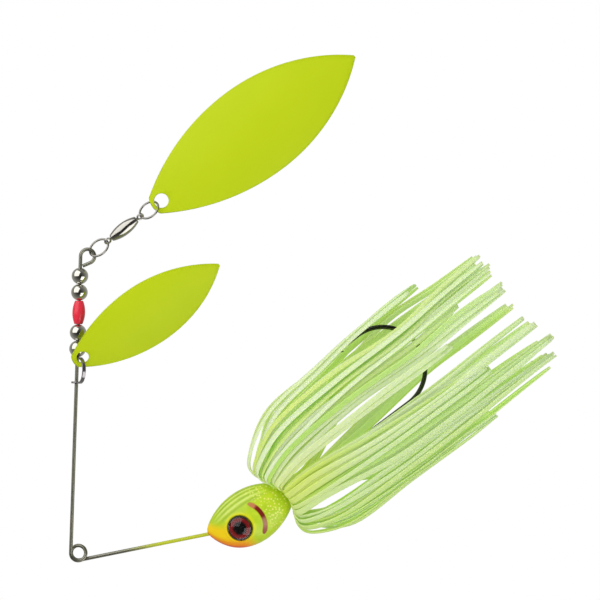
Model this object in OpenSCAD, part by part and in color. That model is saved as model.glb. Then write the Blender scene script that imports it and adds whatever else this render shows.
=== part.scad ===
// Spinnerbait: a bent-wire fishing lure with a lead head, a strand skirt, a hook and two spinning blades.
// Millimetres, +Z up. The lure hangs from its line tie, as it does on the line: the origin is the centre of
// the tie's coil, the wire lies in the XZ plane, and the swivel chain and both blades hang plumb.

/* [Wire form] */
// Diameter of the stainless wire
wire_d = 0.9; // [0.8:0.05:1.0]
// Mean radius of the line-tie coil
coil_r = 1.85; // [1.7:0.05:2.2]
// Sideways climb of the coil from one arm to the other
coil_rise = 1.6; // [1.6:0.1:2.0]
// Lean of the blade arm from straight down, towards +X
arm_lean = 51.1; // [48:0.1:54]
// Length of the blade arm from the coil to its end eye
arm_len = 74.3; // [73:0.1:78]
// Mean radius of the end eye
eye_r = 1.75; // [1.6:0.05:2.0]
// Turn of the end eye
eye_turn = 245; // [240:1:247]
// Straight tail that closes the end eye
eye_tail = 1.9; // [1:0.1:1.9]
// Lean of the head arm from straight down, towards -X
leg_lean = 25.4; // [24:0.1:27]
// Length of the head arm, with its end inside the lead
leg_len = 43; // [40:1:44]

/* [Head] */
// Height of the nose, below the line tie
nose_drop = 28.9; // [28:0.1:30]
// Length of the lead body
head_len = 23; // [21:0.5:24]
// Greatest width of the body in the plane of the wire
head_w = 13.6; // [12:0.2:14]
// Greatest thickness across the plane of the wire
head_t = 9.4; // [8.6:0.2:10]
// Diameter of the moulded eyes
fish_eye_d = 6.3; // [6:0.1:6.6]

/* [Hook] */
// Distance of the hook shank from the line tie, towards -X
shank_offset = 19.7; // [19:0.1:20.5]
// Diameter of the hook wire
hook_d = 1.15; // [1:0.05:1.2]
// Mean radius of the hook bend
bend_r = 10.6; // [9:0.1:11]
// Height of the centre of the bend, below the line tie
bend_drop = 88.5; // [84:0.5:90]
// Length of the point leg above the bend, with its point
point_len = 9.2; // [8:0.2:11]

/* [Skirt] */
// Width of a strand where it is free
strand_w = 1.3; // [0.8:0.1:1.4]
// Thickness of a strand
strand_t = 0.36; // [0.3:0.02:0.38]
// Reach of the skirt from the shank on the hook-point side
fore_reach = 23.5; // [23:0.1:24]
// Reach of the skirt from the shank on the other side
back_reach = 16.6; // [16.2:0.1:17.2]
// Reach of the skirt out of the plane of the wire
depth_reach = 12; // [11.6:0.1:12.6]

/* [Beads] */
// Diameter of the metal beads
bead_d = 4.15; // [4:0.05:4.2]
// Length of the red bead
red_len = 5.9; // [5:0.1:6]
// Diameter of the red bead
red_d = 3.2; // [2.8:0.1:3.6]
// Diameter of the holes that run on the wire
wire_bore = 1.2; // [1.15:0.05:1.3]
// Room between two pieces that sit against each other on the wire
stack_gap = 0.1; // [0.08:0.01:0.12]

/* [Blades] */
// Length of the large willow-leaf blade
large_len = 63.7; // [60:0.1:66]
// Length of the small willow-leaf blade
small_len = 44; // [42:0.1:46]
// Width of a blade as a share of its length
blade_aspect = 0.372; // [0.34:0.002:0.38]
// Thickness of the blade metal with its paint
blade_t = 0.6; // [0.5:0.05:0.7]
// Distance from the base of a blade to the centre of its hole
hole_inset = 2.75; // [2.6:0.05:2.9]
// Diameter of the large blade's hole
large_hole = 3.6; // [3.4:0.1:3.7]
// Diameter of the small blade's hole
small_hole = 3; // [2.8:0.1:3.2]

/* [Clevis] */
// Distance between the clevis ears
clevis_span = 6.1; // [5.8:0.1:6.4]
// Reach of the clevis bow from the wire
clevis_reach = 5.2; // [5:0.1:5.6]
// Turn of the clevis round the wire, from straight below it towards the front
clevis_turn = 65; // [63:1:67]

/* [Swivel] */
// Length of the swivel barrel
barrel_len = 8; // [7:0.1:9]
// Greatest diameter of the swivel barrel
barrel_d = 3.3; // [3.2:0.1:3.6]
// Mean radius of the two rings
ring_r = 2.6; // [2.4:0.1:2.8]
// Diameter of the ring wire
ring_wire = 0.55; // [0.5:0.05:0.6]

/* [Hidden] */
$fn = 48;

steel = "lightgray";
nickel = "silver";
black_nickel = "#3a3a3e";
chartreuse = "#c0d822";
pale_chartreuse = "#cfe77e";
link_gap = 0.06;

function unit(v) = v / norm(v);
function ease(u) = u * u * (3 - 2 * u);
function mix(a, b, w) = a + (b - a) * w;
// A repeatable value from 0 to 1 for each whole number
function scatter(i) = let (v = 43.7 * sin(i * 77.7)) v - floor(v);

// Point on a smooth curve through pts, with t from 0 at the first point to 1 at the last
function spline(pts, t) =
    let (last = len(pts) - 1)
    let (i = min(floor(t * last), last - 1))
    let (u = t * last - i)
    let (p0 = pts[max(i - 1, 0)], p1 = pts[i], p2 = pts[i + 1], p3 = pts[min(i + 2, last)])
    p1 + u / 2 * (p2 - p0 + u * (2 * p0 - 5 * p1 + 4 * p2 - p3 + u * (3 * (p1 - p2) + p3 - p0)));

// Tangents along a path; the two ends may be given
function tangents(path, first = undef, last = undef) =
    let (n = len(path) - 1)
    [for (i = [0 : n])
        i == 0 && !is_undef(first) ? first :
        i == n && !is_undef(last) ? last :
        unit(path[min(i + 1, n)] - path[max(i - 1, 0)])];

// Triangles of a closed tube of rings with the same number of sides, counted from point number start
function tube_faces(rings, sides, start = 0) = concat(
    [for (k = [1 : sides - 2]) [start, start + k, start + k + 1]],
    [for (i = [0 : rings - 2], k = [0 : sides - 1], half = [0, 1])
        let (a = start + i * sides + k, b = start + i * sides + (k + 1) % sides)
        half == 0 ? [a, a + sides, b + sides] : [a, b + sides, b]],
    [for (k = [1 : sides - 2])
        let (top = start + (rings - 1) * sides)
        [top, top + k + 1, top + k]]
);

// A round bar from one point to another
module bar(p, q, d) {
    run = q - p;
    translate(p)
        rotate([0, acos(run.z / norm(run)), atan2(run.y, run.x)])
            cylinder(d = d, h = norm(run));
}

// An arc of round wire in the XZ plane, with angles from +X towards +Z
module bend(centre, radius, from, sweep, d) {
    translate(centre)
        rotate([90, 0, 0])
            rotate([0, 0, from])
                rotate_extrude(angle = sweep)
                    translate([radius, 0])
                        circle(d = d);
}

// Wire form: the blade arm with its end eye, the line-tie coil and the head arm are one bent wire
arm_along = [sin(arm_lean), 0, -cos(arm_lean)];
arm_out = [cos(arm_lean), 0, sin(arm_lean)];
function on_arm(s) = coil_r * arm_out + s * arm_along;
eye_centre = on_arm(arm_len) - eye_r * arm_out;

coil_sides = 10;
coil_steps = 32;
coil_sweep = 540 - leg_lean - arm_lean;
function coil_point(u) =
    let (a = arm_lean + coil_sweep * u)
    [coil_r * cos(a), coil_rise * ease(u), coil_r * sin(a)];
coil_path = [for (i = [0 : coil_steps]) coil_point(i / coil_steps)];
leg_top = coil_path[coil_steps];
leg_along = unit([-sin(leg_lean), -coil_rise / leg_len, -cos(leg_lean)]);
leg_end = leg_top + leg_len * leg_along;

half_turn = ceil(coil_steps * 180 / coil_sweep);
coil_gap = min([for (i = [0 : coil_steps - half_turn], j = [i + half_turn : coil_steps])
    norm(coil_path[i] - coil_path[j])]) - wire_d;
echo(least_gap_in_the_coil_mm = coil_gap);

// The bends are slimmer than the straights by a hair, and their ends are tucked inside them
bend_slim = 0.04;
tuck = 0.8;
tuck_start = 0.25;
tuck_turn = 6;

module coil() {
    path = concat([coil_path[0] + tuck * arm_along], coil_path, [leg_top + tuck * leg_along]);
    ways = concat([-arm_along], tangents(coil_path, first = -arm_along, last = leg_along), [leg_along]);
    points = [for (i = [0 : len(path) - 1], k = [0 : coil_sides - 1])
        let (u = unit(cross(ways[i], [0, 1, 0])), v = cross(ways[i], u), a = 360 * k / coil_sides)
        path[i] + (wire_d - bend_slim) / 2 * (cos(a) * u + sin(a) * v)];
    polyhedron(points, tube_faces(len(path), coil_sides));
}

module wire_form() {
    tail_from = arm_lean - eye_turn;
    tail_foot = eye_centre + eye_r * [cos(tail_from), 0, sin(tail_from)];
    tail_tip = tail_foot + eye_tail * [sin(tail_from), 0, -cos(tail_from)];
    color(steel) {
        coil();
        bar(on_arm(tuck_start), on_arm(arm_len), wire_d);
        bend(eye_centre, eye_r, tail_from - tuck_turn, eye_turn + 2 * tuck_turn, wire_d - bend_slim);
        bar(tail_foot, tail_tip, wire_d);
        bar(leg_top + tuck_start * leg_along, leg_end, wire_d);
    }
}

// Hook: straight shank out of the lead, round bend, tapered point with a barb
shank = [-shank_offset, 0, 0];
shank_top_z = -nose_drop - 0.6 * head_len;
bend_z = -bend_drop;
point_x = 2 * bend_r - shank_offset;
taper_len = 5.6;
point_d = 0.14;
barb_h = 2.2;
barb_out = 1.25;
barb_t = 0.4;

module hook() {
    leg_z = bend_z + point_len - taper_len;
    barb_z = leg_z + 0.3 * taper_len;
    color(black_nickel) {
        bar(shank + [0, 0, shank_top_z], shank + [0, 0, bend_z], hook_d);
        bend([bend_r - shank_offset, 0, bend_z], bend_r, 180, 180, hook_d);
        bar([point_x, 0, bend_z], [point_x, 0, leg_z], hook_d);
        translate([point_x, 0, leg_z])
            cylinder(d1 = hook_d, d2 = point_d, h = taper_len);
        translate([point_x, 0, barb_z])
            rotate([90, 0, 0])
                linear_extrude(barb_t, center = true)
                    polygon([[0, barb_h], [-barb_out, -0.1], [-0.2, 0.3]]);
    }
}

// Lead head: a loft of rounded ovals from the nose, where the wire goes in, to the skirt keeper
head_rings = 22;
head_sides = 28;
nose_z = -nose_drop;
nose_x = -15.8;
body_x = -18.7;
squareness = 2.2;
keeper_r = 1.95;
keeper_end_z = -57;
channel_gap = 0.04;
brow_w = 1;
brow_at = 0.18;

function head_share(u) = pow(sin(180 * u), 0.55);
function head_middle(u) =
    body_x + (nose_x - body_x) * exp(-u / 0.09) + (-shank_offset - body_x) * pow(u, 6);
function head_brow(u) = brow_w * u / brow_at * exp(1 - u / brow_at);
function rounded(c) = sign(c) * pow(abs(c), 2 / squareness);

module head_body() {
    stations = [for (i = [0 : head_rings]) 0.01 + 0.98 * (1 - cos(180 * i / head_rings)) / 2];
    points = [for (u = stations, k = [0 : head_sides - 1])
        let (a = 360 * k / head_sides)
        let (half_w = head_w / 2 * head_share(u) + (cos(a) > 0 ? head_brow(u) : 0))
        [head_middle(u) + half_w * rounded(cos(a)),
            -head_t / 2 * head_share(u) * rounded(sin(a)),
            nose_z - head_len * u]];
    polyhedron(points, tube_faces(head_rings + 1, head_sides));
}

module head() {
    color(chartreuse)
        difference() {
            union() {
                head_body();
                bar(shank + [0, 0, nose_z - 0.9 * head_len], shank + [0, 0, keeper_end_z], 2 * keeper_r);
            }
            bar(leg_top, leg_end + 0.1 * leg_along, wire_d + channel_gap);
            bar(shank + [0, 0, shank_top_z + 0.1], shank + [0, 0, bend_z], hook_d + channel_gap);
            near_seat() cylinder(d = fish_eye_d + channel_gap, h = head_t);
            far_seat() cylinder(d = fish_eye_d + channel_gap, h = head_t);
        }
}

// Moulded eyes: a printed disc in a flat seat under a clear dome, on each side of the head
fish_eye_x = -19.1;
fish_eye_z = -36.4;
seat_y = 3.5;
seat_tilt = 10;
iris_t = 0.35;
dome_h = 1.5;
dome_r = (pow(fish_eye_d / 2, 2) + pow(dome_h, 2)) / (2 * dome_h);

module near_seat() {
    translate([fish_eye_x, -seat_y, fish_eye_z])
        rotate([90 - seat_tilt, 0, 0])
            children();
}

module far_seat() {
    mirror([0, 1, 0]) near_seat() children();
}

module iris() {
    color("#8c1420") cylinder(d = fish_eye_d, h = iris_t);
}

module eye_dome() {
    color("#f4e8e4")
        translate([0, 0, iris_t])
            intersection() {
                cylinder(d = fish_eye_d, h = dome_h + 1);
                translate([0, 0, dome_h - dome_r]) sphere(r = dome_r, $fn = 240);
            }
}

// Skirt collar: a rubber band that grips the strands on the keeper
collar_top_z = -52.2;
collar_h = 3;
collar_in_r = 3.45;
collar_wall = 1.1;

module skirt_collar() {
    round_r = collar_wall / 2;
    color(pale_chartreuse)
        translate(shank + [0, 0, collar_top_z - collar_h])
            rotate_extrude()
                translate([collar_in_r + round_r, round_r]) {
                    circle(r = round_r);
                    translate([-round_r, 0]) square([collar_wall, collar_h - collar_wall]);
                    translate([0, collar_h - collar_wall]) circle(r = round_r);
                }
}

// Skirt strands: each flat strand runs through the collar. Its back half trails down beside the hook, and
// its front half springs up round the head, folds over and trails down outside. Strands gather in tufts.
// A tuft is its number of strands and its route down from the fold, on the near or the far side of the
// hook, from the point side to the other: [distance from the shank, half the spread, height].
near_tufts = [
    [6, [[10.7, 3.2, -60], [13.3, 2.8, -78], [15, 2.2, -97], [16.6, 2.3, -112], [16.9, 2.2, -126]]],
    [4, [[6.3, 1.5, -60], [6.8, 1.1, -78], [7.6, 1.4, -97], [9.4, 1.5, -112], [9.2, 0.8, -125]]],
    [5, [[0.8, 1.9, -60], [-1.8, 1.6, -78], [-2.9, 1.4, -97], [-2.8, 1.4, -112], [-1.8, 1.4, -126]]],
    [4, [[-4, 1.8, -60], [-6.6, 1.6, -78], [-7.3, 1.4, -97], [-7.4, 1.1, -112], [-8.2, 1.2, -128]]],
    [3, [[-10.3, 1.4, -60], [-12, 1.2, -78], [-11.9, 1, -97], [-11.4, 1, -112], [-12.2, 0.8, -125.4]]],
    [2, [[-14.4, 0.7, -60], [-16, 0.7, -78], [-15.4, 0.7, -94], [-15.2, 0.7, -102], [-15.1, 0.8, -107]]]
];
far_tufts = [
    [3, [[15.6, 1.9, -60], [19.7, 1.3, -78], [21.4, 1.2, -92], [22.1, 1.1, -102], [22.1, 0.9, -110]]],
    [6, [[10.9, 3.2, -60], [13.8, 3.5, -78], [15.7, 3.5, -97], [16.5, 2.5, -112], [16.9, 2.1, -126.5]]],
    [3, [[6.1, 1.4, -60], [6.8, 1.1, -78], [7.7, 1.4, -97], [9.4, 1.4, -112], [9.1, 0.8, -126]]],
    [4, [[1.9, 1.1, -60], [2.2, 1, -78], [2.6, 1, -97], [3.6, 1, -112], [4.3, 0.7, -125.6]]],
    [3, [[-1.8, 1.2, -60], [-2.6, 1.4, -78], [-3, 1.3, -97], [-2.8, 1.3, -112], [-1.7, 1.1, -126]]],
    [2, [[-5.3, 0.9, -60], [-7, 1, -78], [-7.5, 1, -97], [-7.4, 0.8, -112], [-8.1, 0.9, -127.6]]],
    [2, [[-10.6, 1.3, -60], [-12, 1.1, -78], [-11.8, 1, -97], [-11.4, 0.9, -112], [-12.1, 0.7, -125.4]]],
    [1, [[-14.9, 0.5, -60], [-16.1, 0.5, -78], [-15.4, 0.4, -97], [-14.8, 0.4, -112], [-14.6, 0.3, -123]]]
];
// Which near tuft and which far tuft make up each stored group of strands; -1 is none
tuft_groups = [[-1, 0], [0, 1], [1, 2], [-1, 3], [2, 4], [3, 5], [4, 6], [5, 7]];
strands_a_side = 24;
// Under the collar the strands lie in three layers. The innermost folds over widest.
layer_share = [1, 0.86, 0.72];
layer_r0 = 2.25;
layer_step = 0.45;
layer_sink = 0.9;
root_seam = 11.25;
root_step = (180 - 2 * root_seam) / strands_a_side;
root_fill = 1.6;
// The fold: its root, its crest and its shoulder, on the point side and on the other side
fold_r = 4.2;
fold_depth = 0.8;
root_lip = 0.1;
rise_out = 0.5;
rise_up = 1.1;
rise_sink = 0.4;
gather_crest = 0.4;
gather = 0.6;
crest_share = 0.3;
crest_z = -50;
fore_crest_z = -47.6;
back_crest_z = -49.6;
fore_shoulder = [0.54, -50];
back_shoulder = [0.68, -51.4];
// Depth of the outer strands along their route, as a share of the reach, and at the edges of the skirt
route_depth = [0.62, 0.8, 0.86, 0.86, 0.72];
edge_y = 1.2;
edge_power = 0.7;
// The back halves trail inside: their distance from the hook's plane, and their shares of the front's sizes
trail_y = 2.95;
trail_step = 0.9;
trail_in = 0.15;
trail_w = 0.85;
trail_root = 0.5;
trail_thin = 0.6;
trail_out = [1.2, 2];
trail_down = [5, 10];
trail_pull = [0.5, 0.8, 0.4];
trail_len = 0.86;
trail_scatter = 0.12;
// A strand turns its flat side, from this distance from the shank and over this length
front_turn = [5, 7];
trail_turn = [3.2, 3];
// Tips narrow and end unevenly, and rings stand closer at the fold
tip_narrowing = 0.6;
tip_power = 8;
tip_scatter = 0.05;
ring_power = 1.15;
front_steps = 13;
back_steps = 6;
strand_rings = front_steps + back_steps + 2;

function sum(list, i = 0) = i == len(list) ? 0 : list[i] + sum(list, i + 1);
function layer_r(layer) = layer_r0 + layer_step * layer;
function reach_at(x) = x > 0 ? fore_reach : back_reach;
function around(r, a, z) = [r * cos(a), r * sin(a), z];
function fold_reach(a) = 1 / norm([cos(a) / reach_at(cos(a)), sin(a) / (fold_depth * depth_reach)]);

// Distance from the shank of a strand that lies off, from -1 to 1, across its tuft
function route_x(p, off) = p[0] + off * p[1];

function front_point(route, i, off, layer, hand) =
    let (x = route_x(route[i], off), full = depth_reach * route_depth[i] * layer_share[layer])
    let (edge = max(1 - pow(x / reach_at(x), 2), 0))
    [x, hand * (edge_y + (full - edge_y) * pow(edge, edge_power)), route[i][2]];

function back_point(route, i, off, layer, hand) =
    let (x = route_x(route[i], off), far_out = pow(x / reach_at(x), 2))
    [x * (1 - trail_in * far_out), hand * (trail_y + trail_step * layer * (1 - trail_thin * far_out)),
        route[i][2]];

function front_curve(route, off, layer, hand, a) =
    let (r = layer_r(layer), first = front_point(route, 0, off, layer, hand), side = (1 + cos(a)) / 2)
    let (b = mix(a, atan2(first.y, first.x), gather), span = layer_share[layer] * fold_reach(b) - fold_r)
    let (top_z = mix(crest_z, cos(a) > 0 ? fore_crest_z : back_crest_z, pow(cos(a), 2)))
    let (shoulder = mix(back_shoulder, fore_shoulder, side), sunk = layer_sink * layer)
    concat(
        [around(r, a, collar_top_z + root_lip),
            around(r + rise_out, a, collar_top_z + rise_up - rise_sink * layer),
            around(fold_r + crest_share * span, mix(a, b, gather_crest), top_z - sunk),
            around(fold_r + shoulder[0] * span, b, shoulder[1] - sunk)],
        [for (i = [0 : len(route) - 1]) front_point(route, i, off, layer, hand)]);

function back_curve(route, off, layer, hand, a) =
    let (r = layer_r(layer), root_z = collar_top_z - collar_h - root_lip)
    let (low = back_point(route, 1, off, layer, hand), pull = trail_pull)
    let (out = around(r + trail_out[1], a, root_z - trail_down[1]))
    concat(
        [around(r, a, root_z), around(r + trail_out[0], a, root_z - trail_down[0]),
            [mix(out.x, low.x, pull.x), mix(out.y, low.y, pull.y), mix(out.z, low.z, pull.z)]],
        [for (i = [1 : len(route) - 1]) back_point(route, i, off, layer, hand)]);

// Across a strand: round the collar at its root, round the skirt's oval where its front half hangs, and
// along the plane of the wire where its back half trails
function strand_across(p, trails) =
    let (r = norm([p.x, p.y]), turn = trails ? trail_turn : front_turn)
    let (out = min(max((r - turn[0]) / turn[1], 0), 1))
    let (flat = pow(reach_at(p.x) / depth_reach, 2))
    trails ? unit(mix([-p.y, p.x, 0] / r, [-sign(p.y), 0, 0], out)) :
        unit([-p.y * mix(1, flat, out), p.x, 0]);

// Each ring of a strand is [x, y, z, share of the way from the collar to the tip]
function strand_run(front, back, number) =
    let (front_end = 1 - tip_scatter * scatter(number))
    let (back_end = trail_len + trail_scatter * scatter(number + 40))
    concat(
        [for (k = [front_steps : -1 : 0])
            let (t = pow(k / front_steps, ring_power))
            concat(spline(front, front_end * t), [t])],
        [for (k = [0 : back_steps])
            let (t = k / back_steps)
            concat(spline(back, back_end * t), [t])]);

function strand_points(run) =
    let (path = [for (p = run) [p[0], p[1], p[2]]], ways = tangents(path))
    let (room = root_fill * tan(1.5 * root_step))
    [for (k = [0 : len(run) - 1], corner = [[1, 1], [-1, 1], [-1, -1], [1, -1]])
        let (trails = k > front_steps, across = strand_across(path[k], trails))
        let (root_w = room * (norm([path[k].x, path[k].y]) - strand_t / 2) * (trails ? trail_root : 1))
        let (free_w = strand_w * (trails ? trail_w : 1))
        let (w = min(free_w, root_w) * (1 - tip_narrowing * pow(run[k][3], tip_power)))
        let (face = unit(cross(ways[k], across)))
        shank + path[k] + corner[0] * w / 2 * across + corner[1] * strand_t / 2 * face];

// The strands of one tuft; before is how many strands the tufts nearer to the point hold on that side
function tuft_strands(tufts, n, hand) =
    let (count = tufts[n][0], route = tufts[n][1])
    let (before = n == 0 ? 0 : sum([for (i = [0 : n - 1]) tufts[i][0]]))
    [for (j = [0 : count - 1])
        let (k = before + j, past = 2 * k < strands_a_side ? 0 : 1)
        let (layer = past == 0 ? k % 3 : 2 - (k + 1) % 3, a = hand * (root_seam + root_step * (k + past)))
        let (off = count == 1 ? 0 : 1 - 2 * j / (count - 1))
        let (front = front_curve(route, off, layer, hand, a), back = back_curve(route, off, layer, hand, a))
        strand_points(strand_run(front, back, k + 30 * hand))];

module skirt_strands(group) {
    pair = tuft_groups[group - 1];
    near = pair[0] < 0 ? [] : tuft_strands(near_tufts, pair[0], -1);
    strands = concat(near, tuft_strands(far_tufts, pair[1], 1));
    points = [for (s = strands) each s];
    faces = [for (n = [0 : len(strands) - 1]) each tube_faces(strand_rings, 4, 4 * strand_rings * n)];
    color(pale_chartreuse) polyhedron(points, faces);
}

// Pieces on the blade arm stand in a row from the end eye: two beads, the red bead, two beads, the clevis
bead_half = sqrt(pow(bead_d / 2, 2) - pow(wire_bore / 2, 2));
bead_pitch = 2 * bead_half + stack_gap;
bead_1_at = 69.3;
red_at = bead_1_at - bead_pitch - bead_half - stack_gap - red_len / 2;
bead_3_at = red_at - red_len / 2 - stack_gap - bead_half;
bead_at = [bead_1_at, bead_1_at - bead_pitch, bead_3_at, bead_3_at - bead_pitch];

// Local +Z runs along the blade arm to its end eye, local +X is straight below the wire, local +Y is +Y
module at_arm(s) {
    translate(on_arm(s))
        rotate([0, 180 - arm_lean, 0])
            children();
}

module metal_bead(number) {
    color(nickel)
        at_arm(bead_at[number - 1])
            difference() {
                sphere(d = bead_d);
                cylinder(d = wire_bore, h = 2 * bead_d, center = true);
            }
}

// A barrel-shaped profile: a flat circular bulge of the given height and radius, cut at its end radius
module barrel_profile(r, end_r, h) {
    arc_r = (pow(h / 2, 2) + pow(r - end_r, 2)) / (2 * (r - end_r));
    intersection() {
        translate([r - arc_r, 0]) circle(r = arc_r, $fn = 180);
        translate([0, -h / 2]) square([r + 1, h]);
    }
}

red_end = 0.62;

module red_bead() {
    color("#d01828")
        at_arm(red_at)
            difference() {
                rotate_extrude() barrel_profile(red_d / 2, red_end * red_d / 2, red_len);
                cylinder(d = wire_bore, h = 2 * red_len, center = true);
            }
}

// Clevis: a folded strip whose two ears run on the wire and whose bow passes through the small blade
strap_w = 0.9;
strap_t = 0.45;
ear_d = 2.6;
ear_at = bead_at[3] - bead_half - stack_gap - strap_t / 2;
clevis_at = ear_at - clevis_span / 2;
clevis_leg = clevis_reach - clevis_span / 2;

module clevis_ear() {
    linear_extrude(strap_t, center = true)
        difference() {
            union() {
                circle(d = ear_d);
                translate([0, -strap_w / 2]) square([clevis_leg, strap_w]);
            }
            circle(d = wire_bore);
        }
}

module clevis() {
    color(nickel)
        at_arm(clevis_at)
            rotate([0, 0, -clevis_turn]) {
                translate([0, 0, clevis_span / 2]) clevis_ear();
                translate([0, 0, -clevis_span / 2]) clevis_ear();
                translate([clevis_leg, 0, 0])
                    rotate([90, 0, 0])
                        rotate([0, 0, -90])
                            rotate_extrude(angle = 180)
                                translate([clevis_span / 2, 0])
                                    square([strap_t, strap_w], center = true);
            }
}

// Willow-leaf blade, along +X from base to tip with its cup's back towards +Z. Its outline is four arcs,
// fuller towards the base, and it is cut from a shell curved across and, more gently, along its length.
base_arc = 0.885;
tip_arc = 0.772;
cross_arc = 0.6;
length_arc = 2.35;
shell_half = 0.55;
base_round = 0.08;
tip_blunt = 0.2;

module leaf(length, arc) {
    half_w = blade_aspect * length / 2;
    radius = arc * length;
    intersection() {
        translate([0, half_w - radius]) circle(r = radius, $fn = 180);
        translate([0, radius - half_w]) circle(r = radius, $fn = 180);
    }
}

module leaf_outline(length) {
    half = length / 2;
    base_r = base_round * length;
    intersection() {
        leaf(length, tip_arc);
        translate([0, -half]) square([half - tip_blunt, length]);
    }
    intersection() {
        leaf(length, base_arc);
        translate([-half, -half]) square([half, length]);
        union() {
            translate([base_r - half, 0]) circle(r = base_r);
            translate([base_r - half, -half]) square([length, length]);
        }
    }
}

// How far the shell has dropped away from its crown at a distance along the blade
function shell_drop(length, x) = length_arc * length - sqrt(pow(length_arc * length, 2) - x * x);

module blade(length, hole_d) {
    outer_r = length_arc * length;
    cross_r = cross_arc * length;
    span = 2 * asin(shell_half / length_arc);
    difference() {
        intersection() {
            translate([0, 0, -length]) linear_extrude(2 * length) leaf_outline(length);
            translate([0, 0, -outer_r])
                rotate([90, 0, 0])
                    rotate([0, 0, 90 - span / 2])
                        rotate_extrude(angle = span)
                            translate([outer_r - cross_r, 0])
                                intersection() {
                                    difference() {
                                        circle(r = cross_r, $fn = 180);
                                        circle(r = cross_r - blade_t, $fn = 180);
                                    }
                                    translate([0, -cross_r]) square(2 * cross_r);
                                }
        }
        translate([hole_inset - length / 2, 0, 0])
            cylinder(d = hole_d, h = length, center = true);
    }
}

// Hangs a blade by the middle of its hole: tip down, the cup's back to the front. Roll turns its +X edge to
// the front, lean swings its tip towards -X, and pitch swings its tip back until its weight hangs plumb.
module hung(point, length, roll, lean) {
    hole_x = length / 2 - hole_inset;
    translate(point)
        rotate([0, lean, 0])
            rotate([0, 90, -90 - roll])
                rotate([0, blade_pitch, 0])
                    translate([hole_x, 0, shell_drop(length, hole_x) + blade_t / 2])
                        children();
}

blade_pitch = 3.4;
small_hole_at = [38.4, -2.3, -30.65];
small_roll = 22;
small_lean = 4.3;

module small_blade() {
    color(chartreuse)
        hung(small_hole_at, small_len, small_roll, small_lean)
            blade(small_len, small_hole);
}

// Swivel chain, down from the end eye: ring, swivel, ring, large blade. Each piece hangs on the one above.
chain = [eye_centre.x, 0, 0];
chain_turn = 45;
loop_r = 0.75;
loop_wire = 0.5;
stem_d = 0.6;
stem_gap = 0.1;
cap_d = 1.5;
cap_t = 0.5;
barrel_wall = 0.45;
barrel_end_r = 0.8;
barrel_end_t = 1.2;
cap_inset = 1.7;
arm_ring_z = eye_centre.z - eye_r + wire_d / 2 + ring_wire / 2 + link_gap - ring_r;
top_loop_z = arm_ring_z - ring_r + ring_wire / 2 + loop_wire / 2 + link_gap - loop_r;
barrel_z = top_loop_z - loop_r - loop_wire / 2 - link_gap - barrel_len / 2;
bottom_loop_z = 2 * barrel_z - top_loop_z;
blade_ring_z = bottom_loop_z - loop_r + loop_wire / 2 + ring_wire / 2 + link_gap - ring_r;
large_hole_at = chain + [0, -0.25, blade_ring_z - ring_r + ring_wire / 2 + 4 * link_gap - large_hole / 2];

module link(z, radius, d, turn) {
    translate(chain + [0, 0, z])
        rotate([90, 0, turn])
            rotate_extrude()
                translate([radius, 0])
                    circle(d = d);
}

module arm_ring() {
    color(nickel) link(arm_ring_z, ring_r, ring_wire, chain_turn);
}

module blade_ring() {
    color(nickel) link(blade_ring_z, ring_r, ring_wire, chain_turn);
}

// A loop on a stem that ends in a cap inside the barrel; dir is 1 above the barrel and -1 below it
module swivel_eye(loop_z, dir) {
    cap_z = barrel_z + dir * (barrel_len / 2 - cap_inset);
    color(nickel) {
        link(loop_z, loop_r, loop_wire, -chain_turn);
        bar(chain + [0, 0, loop_z - dir * loop_r], chain + [0, 0, cap_z], stem_d);
        bar(chain + [0, 0, cap_z + dir * 0.01], chain + [0, 0, cap_z - dir * cap_t], cap_d);
    }
}

module swivel_barrel() {
    cavity_r = barrel_d / 2 - barrel_wall;
    color(nickel)
        translate(chain + [0, 0, barrel_z])
            difference() {
                rotate_extrude() barrel_profile(barrel_d / 2, barrel_end_r, barrel_len);
                rotate_extrude()
                    barrel_profile(cavity_r, barrel_end_r - 0.1, barrel_len - 2 * barrel_end_t);
                cylinder(d = stem_d + 2 * stem_gap, h = 2 * barrel_len, center = true);
            }
}

module large_blade() {
    color(chartreuse)
        hung(large_hole_at, large_len, 0, 0)
            blade(large_len, large_hole);
}

wire_form();
head();
hook();
near_seat() iris();  // near_iris
far_seat() iris();  // far_iris
near_seat() eye_dome();  // near_eye_dome
far_seat() eye_dome();  // far_eye_dome
skirt_collar();
skirt_strands(1);  // skirt_strands_1
skirt_strands(2);  // skirt_strands_2
skirt_strands(3);  // skirt_strands_3
skirt_strands(4);  // skirt_strands_4
skirt_strands(5);  // skirt_strands_5
skirt_strands(6);  // skirt_strands_6
skirt_strands(7);  // skirt_strands_7
skirt_strands(8);  // skirt_strands_8
metal_bead(1);  // metal_bead_1
metal_bead(2);  // metal_bead_2
red_bead();
metal_bead(3);  // metal_bead_3
metal_bead(4);  // metal_bead_4
clevis();
small_blade();
arm_ring();
swivel_eye(top_loop_z, 1);  // swivel_top_eye
swivel_barrel();
swivel_eye(bottom_loop_z, -1);  // swivel_bottom_eye
blade_ring();
large_blade();
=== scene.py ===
# %% [markdown]
# # A spinnerbait, one surface at a time
#
# A spinnerbait is a fishing lure on a bent wire. One arm carries a lead head with a hook and a skirt of
# soft strands. The other carries beads and two thin metal blades that spin in the water. Each piece is a
# surface worked out with numpy in the solid model's frame, in millimetres, and its mesh is in Blender's
# metres.

import bmesh
import bpy
import numpy as np
from mathutils import Matrix


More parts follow.
